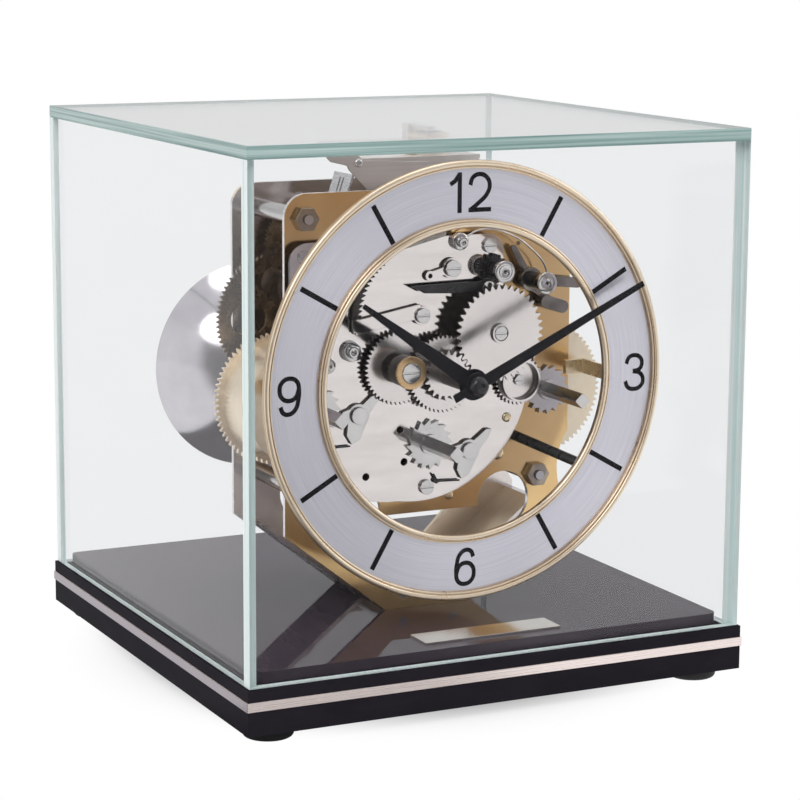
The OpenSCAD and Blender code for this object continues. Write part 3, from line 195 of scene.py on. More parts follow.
tree.links.new(ambient.outputs[0], blend.inputs[1])
tree.links.new(backdrop.outputs[0], blend.inputs[2])
surround_out = tree.nodes.new("ShaderNodeOutputWorld")
link(tree, blend, "Shader", surround_out, "Surface")
scene.world = surround


def settled(bm, name):
    """The mesh of a finished shape."""
    mesh = bpy.data.meshes.new(name)
    bm.to_mesh(mesh)
    bm.free()
    return mesh


floor_radius = 4.0
floor_drop = 0.0001
shadow_full = 0.06
shadow_gone = 0.148
bm = bmesh.new()
bmesh.ops.create_circle(bm, cap_ends=True, segments=128, radius=floor_radius)
bmesh.ops.translate(bm, verts=bm.verts, vec=(0, 0, cad_box[0].z - floor_drop))
floor_mesh = settled(bm, "floor")
floor = bpy.data.objects.new("floor", floor_mesh)
scene.collection.objects.link(floor)
floor_paper = bpy.data.materials.new("white_paper")
floor_paper.use_nodes = True
tree = floor_paper.node_tree
tree.nodes.clear()
paper = tree.nodes.new("ShaderNodeBsdfDiffuse")
paper.inputs["Color"].default_value = (0.96, 0.96, 0.96, 1)
far_white = tree.nodes.new("ShaderNodeEmission")
place = tree.nodes.new("ShaderNodeTexCoord")
reach = tree.nodes.new("ShaderNodeVectorMath")
reach.operation = "LENGTH"
link(tree, place, "Object", reach, "Vector")
fade = soft_step(tree, reach.outputs["Value"], shadow_full, shadow_gone)
path, straight = seen_straight(tree)
in_metal = sums(tree, "GREATER_THAN", path.outputs["Glossy Depth"], 0.5)
unlit = sums(tree, "SUBTRACT", 1.0, lit_share(tree, place.outputs["Object"]))
loss = sums(tree, "MULTIPLY", in_metal, unlit)
tree.links.new(sums(tree, "SUBTRACT", 1.0, loss), far_white.inputs["Strength"])
blend = tree.nodes.new("ShaderNodeMixShader")
tree.links.new(sums(tree, "MULTIPLY", straight, fade), blend.inputs["Fac"])
tree.links.new(paper.outputs[0], blend.inputs[1])
tree.links.new(far_white.outputs[0], blend.inputs[2])
floor_out = tree.nodes.new("ShaderNodeOutputMaterial")
link(tree, blend, "Shader", floor_out, "Surface")
floor_mesh.materials.append(floor_paper)

lit_middle = Vector((0, 0, 0.12))


def softbox(name, place, watts, width, height):
    """A round soft lamp turned to the clock.
    What it sends through the glass to a matt surface is counted once, as light that passes the glass."""
    data = bpy.data.lights.new(name, "AREA")
    data.shape = "ELLIPSE"
    data.size = width
    data.size_y = height
    data.energy = watts
    data.use_nodes = True
    tree = data.node_tree
    glow = tree.nodes["Emission"]
    path = tree.nodes.new("ShaderNodeLightPath")
    matt = sums(tree, "GREATER_THAN", path.outputs["Diffuse Depth"], 0.5)
    counted = sums(tree, "MULTIPLY", matt, path.outputs["Is Transmission Ray"])
    tree.links.new(sums(tree, "SUBTRACT", 1.0, counted), glow.inputs["Strength"])
    lamp = bpy.data.objects.new(name, data)
    lamp.location = place
    lamp.rotation_mode = "QUATERNION"
    lamp.rotation_quaternion = (lit_middle - Vector(place)).to_track_quat("-Z", "Y")
    lamp.visible_camera = False
    scene.collection.objects.link(lamp)


softbox("key_lamp", place=(-1.25, -1.25, 1.55), watts=17, width=1.8, height=1.4)
softbox("fill_lamp", place=(1.7, -0.7, 0.9), watts=7, width=1.0, height=1.2)
softbox("top_lamp", place=(0.1, 0.35, 1.9), watts=9, width=1.4, height=1.4)

# Four round feet of black moulded rubber, screwed under the corners of the plinth.
# They are matt, with a fine grain from the mould.


def finish(name, dark, light, rough, metallic=0.0, grain=(60, 60, 60), shine=0.5, relief=0.0):
    """A surface whose colour and gloss drift a little over the piece, between two colours and
    two roughnesses."""
    material = bpy.data.materials.new(name)
    material.use_nodes = True
    tree = material.node_tree
    shader = tree.nodes["Principled BSDF"]
    shader.inputs["Metallic"].default_value = metallic
    shader.inputs["Specular IOR Level"].default_value = shine
    place = tree.nodes.new("ShaderNodeTexCoord")
    stretch = tree.nodes.new("ShaderNodeMapping")
    stretch.inputs["Scale"].default_value = grain
    link(tree, place, "Object", stretch, "Vector")
    drift = tree.nodes.new("ShaderNodeTexNoise")
    drift.inputs["Scale"].default_value = 1.0
    drift.inputs["Detail"].default_value = 4.0
    link(tree, stretch, "Vector", drift, "Vector")
    tint = tree.nodes.new("ShaderNodeValToRGB")
    tint.color_ramp.elements[0].position = 0.3
    tint.color_ramp.elements[0].color = (*dark, 1)
    tint.color_ramp.elements[1].position = 0.7
    tint.color_ramp.elements[1].color = (*light, 1)
    link(tree, drift, "Fac", tint, "Fac")
    link(tree, tint, "Color", shader, "Base Color")
    gloss = tree.nodes.new("ShaderNodeMapRange")
    gloss.inputs["From Min"].default_value = 0.3
    gloss.inputs["From Max"].default_value = 0.7
    gloss.inputs["To Min"].default_value = rough[0]
    gloss.inputs["To Max"].default_value = rough[1]
    tree.links.new(drift.outputs["Fac"], gloss.inputs["Value"])
    tree.links.new(gloss.outputs["Result"], shader.inputs["Roughness"])
    if relief > 0:
        bump = tree.nodes.new("ShaderNodeBump")
        bump.inputs["Strength"].default_value = relief
        bump.inputs["Distance"].default_value = 0.0002
        tree.links.new(drift.outputs["Fac"], bump.inputs["Height"])
        link(tree, bump, "Normal", shader, "Normal")
    return material


def eased(node, width, material, cut=None, turn=math.radians(32)):
    """A copy of a CAD piece with its sharp edges broken, as real edges are, in the finish given.
    Where a second finish is given, all faces but the polished front take it; the dark cut steel there is
    painted shade, darker than duller cut metal."""
    cad = nodes[node]
    slot = cad.material_slots[0].material.name
    bm = bmesh.new()
    bm.from_mesh(cad.data)
    bmesh.ops.remove_doubles(bm, verts=bm.verts, dist=1e-6)
    bmesh.ops.dissolve_limit(bm, angle_limit=math.radians(0.4), verts=bm.verts, edges=bm.edges)
    sharp = [e for e in bm.edges if e.is_manifold and e.calc_face_angle(0) > turn]
    bmesh.ops.bevel(bm, geom=sharp, offset=width, offset_type="OFFSET", affect="EDGES", segments=2,
                    profile=0.5, clamp_overlap=True, material=-1)
    if cut:
        bm.normal_update()
        for face in bm.faces:
            face.material_index = 1 if face.normal.y > -0.5 else 0
    name = node + "_eased"
    finishes = [material, cut] if cut else [material]
    return shown(name, settled(bm, name), finishes, body_of[node], slot, node)


def shown(name, mesh, materials, body, slot, *stands_for):
    """Puts a mesh on a body in its finishes, smooth over its round faces."""
    for material in materials:
        mesh.materials.append(material)
    mesh.shade_smooth()
    mesh.set_sharp_from_angle(angle=math.radians(50))
    piece = bpy.data.objects.new(name, mesh)
    scene.collection.objects.link(piece)
    flat_faces = piece.modifiers.new("flat_faces", "WEIGHTED_NORMAL")
    flat_faces.keep_sharp = True
    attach(piece, body)
    if stands_for:
        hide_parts(*stands_for)
    return piece


def paint(material, *names):
    """The finish of CAD pieces whose shape is right as it is."""
    for name in names:
        nodes[name].material_slots[0].material = material


foot_rubber = finish("foot_rubber", (0.010, 0.010, 0.011), (0.018, 0.017, 0.018), (0.55, 0.75),
                     grain=(900, 900, 900), relief=0.15)
foot_round = 0.0006
eased("feet", foot_round, foot_rubber)

# The plinth is a wooden slab in black polished lacquer, with its edges just broken.
# A metal stripe in four mitred strips is let into a groove all round it. Its light and shade are painted:
# a pale, half-metallic copy makes the front and back bright, and a dark copy shades the side strips.
lacquer = finish("plinth_lacquer", (0.018, 0.016, 0.021), (0.023, 0.020, 0.026), (0.10, 0.17),
                 grain=(40, 40, 120), shine=0.004)
plinth_edge = 0.0005
eased("plinth", plinth_edge, lacquer)
stripe = finish("stripe_aluminium_lit", (0.90, 0.78, 0.745), (0.96, 0.84, 0.80), (0.22, 0.36), metallic=0.45,
                grain=(30, 30, 2600))
side_stripe_shade = finish("side_stripe_shade", (0.33, 0.295, 0.32), (0.39, 0.35, 0.38), (0.22, 0.36), metallic=1.0,
                     grain=(30, 30, 2600))
sheet_edge = 0.00012
trim = eased("trim_band", sheet_edge, stripe)
trim.data.materials.append(side_stripe_shade)
# The side strips take the dark copy of the stripe: painted shade.
facing_side = 0.7
for face in trim.data.polygons:
    if abs(face.normal.x) > facing_side:
        face.material_index = 1

# A raised panel of gloss black plastic lies on the plinth inside the hood and mirrors the movement.
# The bare metal name plate is a thin brushed strip, glued near its front edge.
panel_black = finish("panel_black", (0.052, 0.039, 0.052), (0.062, 0.047, 0.062), (0.030, 0.055),
                     grain=(25, 25, 25), shine=0.24)
panel_edge = 0.0006
eased("display_panel", panel_edge, panel_black)
plate_brushed = finish("name_plate_brushed", (0.80, 0.76, 0.71), (0.92, 0.88, 0.83), (0.09, 0.17),
                       metallic=1.0, grain=(40, 3200, 3200))
eased("name_plate", sheet_edge, plate_brushed)

# The movement's front and back plate are thick sheet brass, polished and lacquered,
# stamped with a V-shaped foot and held apart by turned steel pillars. The back one is nickelled,
# and the strip along its foot is left in satin brass.
plate_brass = finish("plate_brass", (0.79, 0.53, 0.25), (0.89, 0.62, 0.31), (0.11, 0.21), metallic=1.0,
                     grain=(55, 400, 55))
plate_edge = finish("plate_edge", (0.82, 0.78, 0.78), (0.90, 0.86, 0.86), (0.20, 0.32), metallic=1.0,
                    grain=(45, 45, 300))
plate_bright = finish("plate_bright", (0.80, 0.73, 0.69), (0.88, 0.81, 0.77), (0.14, 0.24), metallic=1.0,
                      grain=(45, 300, 45))
thick_edge = 0.0002
eased("front_plate", thick_edge, plate_brass, plate_edge)
back_plate = eased("back_plate", thick_edge, plate_bright, plate_edge)
foot_brass = finish("foot_brass", (0.94, 0.77, 0.54), (1.0, 0.85, 0.63), (0.32, 0.44), metallic=0.85,
                    grain=(90, 400, 90))
back_plate.data.materials.append(foot_brass)
slope_up, slope_side = 0.4, 0.3
for face in back_plate.data.polygons:
    if face.normal.z > slope_up and abs(face.normal.x) > slope_side:
        face.material_index = 2

# Turned and polished steel: pillars, nuts, posts, studs, screws, rollers, arbors and hammer rod.
# Turning leaves fine rings, which show as a soft drift in the gloss.
turned_steel = finish("turned_steel", (0.60, 0.585, 0.58), (0.68, 0.66, 0.65), (0.10, 0.17), metallic=1.0,
                      grain=(120, 2500, 120))
turned_edge = 0.00015
for node in ("plate_pillars", "bridge_posts", "plate_studs", "seat_screws"):
    eased(node, turned_edge, turned_steel)
nut_steel = finish("nut_steel", (0.34, 0.29, 0.24), (0.46, 0.40, 0.33), (0.08, 0.15), metallic=1.0,
                   grain=(300, 300, 300))
eased("pillar_nuts", thick_edge, nut_steel)
# Duller cut metal, darkened far past it to paint the shade on flanks, backs and hole walls.
cut_steel_shade = finish("cut_steel_shade", (0.085, 0.075, 0.070), (0.17, 0.15, 0.14), (0.28, 0.42), metallic=0.95,
                   grain=(400, 400, 400))
for node in ("time_winder", "strike_winder", "chime_winder"):
    eased(node, sheet_edge, turned_steel)
# The clicks' flanks and backs take the dark cut steel: painted shade.
for node in ("time_click", "strike_click", "chime_click"):
    eased(node, sheet_edge, turned_steel, cut_steel_shade)

# The bridge plate in front and the silence lever are steel, nickelled and polished almost to a mirror.
# The large wheels of the motion work are nickelled too, the platform and its cock are satin steel.
nickel = finish("polished_nickel", (0.76, 0.705, 0.685), (0.84, 0.785, 0.765), (0.05, 0.10), metallic=1.0,
                grain=(30, 30, 160))
# The bridge plate's edges and hole walls take the dark cut steel: painted shade.
eased("bridge_plate", sheet_edge, nickel, cut_steel_shade)
satin_steel = finish("satin_steel", (0.66, 0.63, 0.60), (0.78, 0.75, 0.72), (0.26, 0.40), metallic=1.0,
                     grain=(30, 30, 1400))
eased("platform", sheet_edge, satin_steel)
cock = eased("balance_cock", sheet_edge, satin_steel)
# The stud under the cock ends on top of the hairspring, so the spring can turn below it.
spring_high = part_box("hairspring")[1]
stud_gap = 0.00005
stud_reach = spring_high.y + 0.002
stud = [corner for corner in cock.data.vertices
        if corner.co.z < spring_high.z and corner.co.y < stud_reach]
stud_low = min(corner.co.z for corner in stud)
for corner in stud:
    corner.co.z += spring_high.z + stud_gap - stud_low
# The silence lever's flanks and back take the dark cut steel: painted shade.
eased("silence_lever", sheet_edge, nickel, cut_steel_shade)
wheel_nickel = finish("wheel_nickel", (0.76, 0.705, 0.685), (0.83, 0.78, 0.76), (0.15, 0.22), metallic=1.0,
                      grain=(60, 60, 60))
tooth_edge = 0.00008
# The wheels' tooth flanks and backs take the dark cut steel: painted shade.
for node in ("night_wheel", "minute_wheel", "hour_wheel", "count_wheel"):
    eased(node, tooth_edge, wheel_nickel, cut_steel_shade)

# Train wheels and barrels are cut from hard brass, left with a fine satin face.
# The arbors and pinions are of one piece with them here.
wheel_brass = finish("wheel_brass", (0.90, 0.76, 0.58), (0.97, 0.85, 0.68), (0.28, 0.40), metallic=0.92,
                     grain=(250, 250, 250))
paint(wheel_brass, "time_barrel", "third_wheel", "fourth_wheel", "strike_barrel", "chime_barrel",
      "escape_wheel", "balance_wheel", "bell_post")
# The second and third wheels of strike and chime sit deep between the plates; a much darker copy of the
# wheel brass paints the shade there.
wheel_brass_shade = finish("wheel_brass_shade", (0.26, 0.19, 0.12), (0.36, 0.27, 0.18), (0.20, 0.32), metallic=1.0,
                      grain=(250, 250, 250))
paint(wheel_brass_shade, "strike_second_wheel", "strike_third_wheel", "chime_second_wheel", "chime_third_wheel")
paint(turned_steel, "centre_arbor", "pallet_lever")
blued = finish("blued_steel", (0.020, 0.035, 0.11), (0.035, 0.055, 0.16), (0.15, 0.28), metallic=1.0,
               grain=(500, 500, 500))
paint(blued, "hairspring")
fly_metal = finish("fly_sheet", (0.60, 0.59, 0.60), (0.72, 0.71, 0.72), (0.22, 0.36), metallic=1.0,
                   grain=(120, 120, 900))
fly_edge = 0.0001
for node in ("strike_fly", "chime_fly"):
    eased(node, fly_edge, fly_metal)
dark_steel = finish("dark_steel", (0.030, 0.029, 0.031), (0.060, 0.058, 0.060), (0.22, 0.40), metallic=0.9,
                    grain=(90, 700, 90))
strut_edge, spring_edge = 0.0003, 0.00006
eased("dial_strut", strut_edge, dark_steel)
eased("lifting_lever", sheet_edge, dark_steel)
eased("click_springs", spring_edge, dark_steel)

# The strike rack is stamped steel, nickelled like the bridge plate behind it.
# Its toothed end, above the arm that turns on a post, is near black as painted shade, and its flanks and
# back take the dark cut steel as painted shade.
rack_teeth_shade = finish("rack_teeth_shade", (0.032, 0.026, 0.026), (0.065, 0.054, 0.052), (0.12, 0.22), metallic=1.0,
                    grain=(60, 60, 60))
rack = eased("strike_rack", sheet_edge, nickel, cut_steel_shade)
rack.data.materials.append(rack_teeth_shade)
arm_top = Vector((-0.0181, 0, 0.1616))
arm_up = Vector((-0.17, 0, 0.98))
bm = bmesh.new()
bm.from_mesh(rack.data)
bmesh.ops.bisect_plane(bm, geom=bm.verts[:] + bm.edges[:] + bm.faces[:], plane_co=arm_top,
                       plane_no=arm_up)
for face in bm.faces:
    if (face.calc_center_median() - arm_top).dot(arm_up) > 0:
        face.material_index = 2
bm.to_mesh(rack.data)
bm.free()

# A turned brass ring is pressed on the front of the minute wheel's collar.
# Two bent brackets of pale brass, riveted to the front plate, carry the dial.
fine_steps, coarse_steps = 256, 64
fine_from = 0.02


def spun(name, turnings, material, body, slot, *stands_for):
    """Pieces turned on a lathe: each has a centre and a closed section of (radius, level) points."""
    bm = bmesh.new()
    for centre, section in turnings:
        points = [bm.verts.new((centre.x + r, y, centre.z)) for r, y in section]
        lines = [bm.edges.new(pair) for pair in zip(points, points[1:] + points[:1])]
        steps = fine_steps if section[0][0] > fine_from else coarse_steps
        bmesh.ops.spin(bm, geom=points + lines, cent=centre, axis=(0, 1, 0), dvec=(0, 0, 0),
                       angle=2*math.pi, steps=steps, use_merge=True, use_duplicate=False)
    bmesh.ops.recalc_face_normals(bm, faces=bm.faces)
    return shown(name, settled(bm, name), [material], body, slot, *stands_for)


collar_low, collar_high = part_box("minute_wheel")
collar_at = (collar_low + collar_high)/2
ring_bore, ring_rim, ring_length = 0.0044, 0.0070, 0.0012
ring_ease, bore_ease = 0.0002, 0.0001
ring_seat = collar_low.y
ring_front = ring_seat - ring_length
ring_section = [(ring_bore, ring_seat), (ring_rim, ring_seat), (ring_rim, ring_front + ring_ease),
                (ring_rim - ring_ease, ring_front), (ring_bore + bore_ease, ring_front),
                (ring_bore, ring_front + bore_ease)]
ring_brass = finish("ring_brass", (0.70, 0.46, 0.24), (0.80, 0.56, 0.32), (0.24, 0.36), metallic=1.0,
                    grain=(500, 500, 500))
spun("collar_ring", [(collar_at, ring_section)], ring_brass, "minute_wheel", "wheel_brass")
pale_brass = finish("pale_brass", (0.86, 0.70, 0.45), (0.93, 0.78, 0.54), (0.22, 0.34), metallic=1.0,
                    grain=(300, 300, 300))
eased("dial_brackets", thick_edge, pale_brass)

# Two guide rollers at the upper right: turned steel ends on dark sleeves, held on posts of the front plate.
# A dark star wheel, cut from sheet steel, sits behind the upper one.
dial_low, dial_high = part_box("dial_ring")
dial_centre = (dial_low + dial_high)/2


def on_dial(right, up):
    """A place to the right of and above the hands' centre."""
    return dial_centre + Vector((right, 0, up))


def sleeve(front, back, radius, bore=0.00215, ease=0.0003):
    """A plain turned tube with broken outer edges."""
    return [(bore, back), (radius - ease, back), (radius, back - ease), (radius, front + ease),
            (radius - ease, front), (bore, front)]


upper_roller = on_dial(0.0260, 0.0430)
lower_roller = on_dial(0.0465, 0.0370)
roller_seat = -0.06302
# Radius and height over the seat: a raised rim, a groove, and a boss with a bore
roller_end = [(0.0008, 0.0), (0.0047, 0.0), (0.0047, 0.0007), (0.0044, 0.0010), (0.0034, 0.0010),
              (0.0033, 0.0006), (0.0028, 0.0006), (0.0027, 0.0011), (0.0012, 0.0011), (0.0008, 0.0007)]
roller_section = [(r, roller_seat - h) for r, h in roller_end]
spun("roller_ends", [(upper_roller, roller_section), (lower_roller, roller_section)], turned_steel, "case",
     "bright_steel")
sleeve_front, upper_back, lower_back, sleeve_radius = -0.0597, -0.0513, -0.0461, 0.0035
spun("roller_sleeves", [(upper_roller, sleeve(sleeve_front, upper_back, sleeve_radius)),
                        (lower_roller, sleeve(sleeve_front, lower_back, sleeve_radius))],
     dark_steel, "case", "dark_steel")
star_teeth = 14
star_bore, star_root, star_tip = 0.0036, 0.0052, 0.0066
star_front, star_back = -0.0532, -0.0514
bm = bmesh.new()
bmesh.ops.create_circle(bm, segments=4*star_teeth, radius=star_bore)
outline = bmesh.ops.create_circle(bm, segments=4*star_teeth, radius=star_root)["verts"]
bmesh.ops.bridge_loops(bm, edges=bm.edges[:])
for step, corner in enumerate(outline):
    if step % 4 in (0, 3):
        corner.co *= star_tip/star_root
grown = bmesh.ops.extrude_face_region(bm, geom=bm.faces[:])["geom"]
front_corners = [item for item in grown if isinstance(item, bmesh.types.BMVert)]
bmesh.ops.translate(bm, vec=(0, 0, star_back - star_front), verts=front_corners)
star_place = Matrix.Translation((upper_roller.x, star_back, upper_roller.z))
bmesh.ops.transform(bm, verts=bm.verts, matrix=star_place @ Matrix.Rotation(math.pi/2, 4, "X"))
bmesh.ops.recalc_face_normals(bm, faces=bm.faces)
shown("star_wheel", settled(bm, "star_wheel"), [dark_steel], "case", "dark_steel")

# Around the rollers lie levers stamped from smoked steel, with their edges tumbled round.
# Three arms share a boss round the lower roller's sleeve, with a broad end piece below them.
# Two thin ones lie on the bridge plate.


def blank(bm, corners, front, back):
    """A flat piece stamped from sheet: its corners as seen on the dial, and the levels of its two faces."""
    loops = [[bm.verts.new((dial_centre.x + right, level, dial_centre.z + up)) for right, up in corners]
             for level in (front, back)]
    for loop in loops:
        bm.faces.new(loop)
    for k in range(len(corners)):
        bm.faces.new((loops[0][k - 1], loops[0][k], loops[1][k], loops[1][k - 1]))


def arm(bm, start, end, width_start, width_end, front, back):
    """A tapered arm with round ends between two places."""
    start, end = Vector(start), Vector(end)
    ahead = math.atan2(end.y - start.y, end.x - start.x)
    corners = []
    for place, width, facing in ((start, width_start, ahead + math.pi), (end, width_end, ahead)):
        for step in range(-3, 4):
            turn = facing + step*math.pi/6
            corners.append(place + Vector((math.cos(turn), math.sin(turn)))*width/2)
    blank(bm, corners, front, back)


tumbled = 0.00015


def stamped(name, bm, material, slot):
    """Stamped pieces with their edges tumbled round, fixed to the movement."""
    bmesh.ops.bevel(bm, geom=bm.edges[:], offset=tumbled, offset_type="OFFSET", affect="EDGES", segments=2,
                    profile=0.5, material=-1)
    bmesh.ops.recalc_face_normals(bm, faces=bm.faces)
    shown(name, settled(bm, name), [material], "case", slot)


bm = bmesh.new()
# Where each arm starts and ends, its width there, and the levels of its front and back
for start, end, width_start, width_end, front, back in (
        ((0.0500, 0.0365), (0.0700, 0.0340), 0.0050, 0.0044, -0.0492, -0.0476),
        ((0.0478, 0.0334), (0.0560, 0.0275), 0.0038, 0.0030, -0.0496, -0.0480),
        ((0.0443, 0.0398), (0.0380, 0.0510), 0.0040, 0.0026, -0.0494, -0.0478),
        ((0.0530, 0.0270), (0.0610, 0.0245), 0.0058, 0.0058, -0.0520, -0.0478),
        ((-0.0176, 0.0535), (0.0030, 0.0590), 0.0012, 0.0024, -0.05155, -0.05105),
        ((-0.0060, 0.0605), (-0.0300, 0.0520), 0.0020, 0.0030, -0.05155, -0.05105)):
    arm(bm, start, end, width_start, width_end, front, back)
smoked_steel = finish("smoked_steel", (0.19, 0.17, 0.155), (0.34, 0.31, 0.28), (0.08, 0.20), metallic=1.0,
                      grain=(160, 160, 160))
stamped("lever_arms", bm, smoked_steel, "dark_steel")
boss_front, boss_back, boss_radius, boss_bore = -0.0500, -0.0472, 0.0052, 0.00355
spun("lever_boss", [(lower_roller, sleeve(boss_front, boss_back, boss_radius, bore=boss_bore))],
     smoked_steel, "case", "dark_steel")

# Turned steel studs are pressed into the bridge plate.
# Round-headed brass screws hold it and the pieces behind the front plate.
seat_gap = 0.00002
bridge_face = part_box("bridge_plate")[0].y - seat_gap
plate_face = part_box("front_plate")[0].y - seat_gap


def stepped(seat, length, radius):
    """A turned stud: broad at its seat, a groove, and a narrower polished end with a dimple."""
    end = seat - length
    return [(0.0003, seat), (radius, seat), (radius, seat - 0.42*length), (0.92*radius, seat - 0.48*length),
            (0.62*radius, seat - 0.50*length), (0.62*radius, end + 0.0002), (0.55*radius, end),
            (0.2*radius, end), (0.12*radius, end + 0.0003), (0.0003, end + 0.0003)]


def round_head(seat, height, radius):
    """A screw's domed head."""
    return [(0.0002, seat), (radius, seat), (radius, seat - 0.35*height), (0.88*radius, seat - 0.70*height),
            (0.62*radius, seat - 0.92*height), (0.30*radius, seat - height), (0.0002, seat - height)]


spun("front_studs", [(on_dial(-0.0405, 0.0116), stepped(bridge_face, 0.0040, 0.0044)),
                     (on_dial(-0.0512, 0.0063), stepped(bridge_face, 0.0034, 0.0034)),
                     (on_dial(0.0101, 0.0555), stepped(bridge_face, 0.0050, 0.0038))],
     turned_steel, "case", "bright_steel")
spun("brass_screws", [(on_dial(0.0344, -0.0225), round_head(bridge_face, 0.0010, 0.0021)),
                      (on_dial(0.0329, -0.0392), round_head(plate_face, 0.0016, 0.0029)),
                      (on_dial(0.0093, -0.0557), round_head(plate_face, 0.0010, 0.0020)),
                      (on_dial(0.0610, 0.0530), round_head(plate_face, 0.0012, 0.0024))],
     pale_brass, "case", "gold_plate")

# In front of the platform stands a flat lever with a nose, stamped from satin steel
# and held by one round-headed screw.
carrier_front, carrier_back = -0.0372, -0.03605
bm = bmesh.new()
blank(bm, [(-0.0451, 0.0918), (-0.0430, 0.0926), (-0.0306, 0.0922), (-0.0278, 0.0896), (0.0030, 0.0883),
           (0.0030, 0.0810), (-0.0257, 0.0768), (-0.0303, 0.0816), (-0.0345, 0.0860), (-0.0352, 0.0879),
           (-0.0428, 0.0896)], carrier_front, carrier_back)
stamped("carrier_lever", bm, satin_steel, "bright_steel")
spun("carrier_screw", [(on_dial(-0.0302, 0.0889), round_head(carrier_front - seat_gap, 0.0009, 0.0018))],
     turned_steel, "case", "bright_steel")

# A spring of round steel wire is bent from the upper stud over both rollers to the lower one.
# It lies free in front of the bridge plate.


def drawn(name, lines, thickness, smoothness):
    """Round wire or a pen's stroke through points, as a mesh. Its lines turn sharply or bend smoothly."""
    curve = bpy.data.curves.new(name, "CURVE")
    curve.dimensions = "3D"
    curve.resolution_u = smoothness
    curve.bevel_depth = thickness/2
    curve.bevel_resolution = 3
    curve.use_fill_caps = True
    for handle, points in lines:
        line = curve.splines.new("BEZIER")
        line.bezier_points.add(len(points) - 1)
        for knot, point in zip(line.bezier_points, points):
            knot.co = point
            knot.handle_left_type = knot.handle_right_type = handle
    holder = bpy.data.objects.new(name, curve)
    scene.collection.objects.link(holder)
    mesh = bpy.data.meshes.new_from_object(holder.evaluated_get(bpy.context.evaluated_depsgraph_get()))
    bpy.data.objects.remove(holder)
    return mesh


wire_thickness = 0.0008
wire_level = -0.0522
wire_bends = [(0.0101, 0.0555), (0.0200, 0.0600), (0.0340, 0.0575), (0.0455, 0.0500), (0.0520, 0.0420),
              (0.0525, 0.0345)]
wire_points = [(dial_centre.x + right, wire_level, dial_centre.z + up) for right, up in wire_bends]
wire = drawn("wire_spring", [("AUTO", wire_points)], wire_thickness, smoothness=12)
shown("wire_spring", wire, [turned_steel], "case", "bright_steel")

# The bell is spun from bell metal, nickelled and polished, and hangs on its post behind the back plate.
# The hammer is a steel rod with a weighted head.
bell_metal = finish("bell_metal", (0.60, 0.57, 0.61), (0.70, 0.67, 0.71), (0.12, 0.18), metallic=1.0,
                    grain=(60, 60, 60))
paint(bell_metal, "bell")
eased("hammer", thick_edge, turned_steel)

# The dial is a ring of sheet metal, silvered and brushed in circles round the hands' centre.
# Its two round gold rims are spun separately and pressed on.


def brushed_ring(name, centre, dark, light):
    """Silvered metal with fine circular brush lines about the centre of the hands."""
    material = bpy.data.materials.new(name)
    material.use_nodes = True
    tree = material.node_tree
    shader = tree.nodes["Principled BSDF"]
    shader.inputs["Metallic"].default_value = 0.85
    shader.inputs["Anisotropic"].default_value = 0.75
    place = tree.nodes.new("ShaderNodeTexCoord")
    centred = tree.nodes.new("ShaderNodeMapping")
    centred.inputs["Location"].default_value = (-centre.x, -centre.y, -centre.z)
    link(tree, place, "Object", centred, "Vector")
    outward = tree.nodes.new("ShaderNodeVectorMath")
    outward.operation = "NORMALIZE"
    link(tree, centred, "Vector", outward, 0)
    link(tree, outward, "Vector", shader, "Tangent")
    parts = tree.nodes.new("ShaderNodeSeparateXYZ")
    link(tree, centred, "Vector", parts, "Vector")
    turned = sums(tree, "ARCTAN2", parts.outputs["X"], parts.outputs["Z"])
    across = sums(tree, "MULTIPLY", parts.outputs["X"], parts.outputs["X"])
    along = sums(tree, "MULTIPLY", parts.outputs["Z"], parts.outputs["Z"])
    radius = sums(tree, "SQRT", sums(tree, "ADD", across, along), 0.0)
    lines = tree.nodes.new("ShaderNodeCombineXYZ")
    tree.links.new(sums(tree, "MULTIPLY", radius, 2600.0), lines.inputs["X"])
    tree.links.new(sums(tree, "MULTIPLY", turned, 1.6), lines.inputs["Y"])
    brush = tree.nodes.new("ShaderNodeTexNoise")
    brush.inputs["Scale"].default_value = 1.0
    brush.inputs["Detail"].default_value = 5.0
    brush.inputs["Roughness"].default_value = 0.65
    link(tree, lines, "Vector", brush, "Vector")
    tint = tree.nodes.new("ShaderNodeValToRGB")
    tint.color_ramp.elements[0].position = 0.28
    tint.color_ramp.elements[0].color = (*dark, 1)
    tint.color_ramp.elements[1].position = 0.72
    tint.color_ramp.elements[1].color = (*light, 1)
    link(tree, brush, "Fac", tint, "Fac")
    link(tree, tint, "Color", shader, "Base Color")
    gloss = tree.nodes.new("ShaderNodeMapRange")
    gloss.inputs["To Min"].default_value = 0.28
    gloss.inputs["To Max"].default_value = 0.42
    tree.links.new(brush.outputs["Fac"], gloss.inputs["Value"])
    tree.links.new(gloss.outputs["Result"], shader.inputs["Roughness"])
    bump = tree.nodes.new("ShaderNodeBump")
    bump.inputs["Strength"].default_value = 0.12
    bump.inputs["Distance"].default_value = 0.00005
    tree.links.new(brush.outputs["Fac"], bump.inputs["Height"])
    link(tree, bump, "Normal", shader, "Normal")
    return material


dial_face_y = dial_low.y
silvered = brushed_ring("silvered_dial", dial_centre, (0.70, 0.685, 0.76), (0.90, 0.88, 0.96))
dial_edge = 0.00008
eased("dial_ring", dial_edge, silvered)
rim_gold = finish("rim_gold", (0.97, 0.78, 0.57), (1.0, 0.85, 0.66), (0.26, 0.34), metallic=0.90,
                  grain=(120, 120, 120))
rims_low, rims_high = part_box("dial_rims")
rim_outside = (rims_high.x - rims_low.x)/2
rim_height = dial_face_y - rims_low.y
rim_width = 0.0036
rim_inside = 0.0649
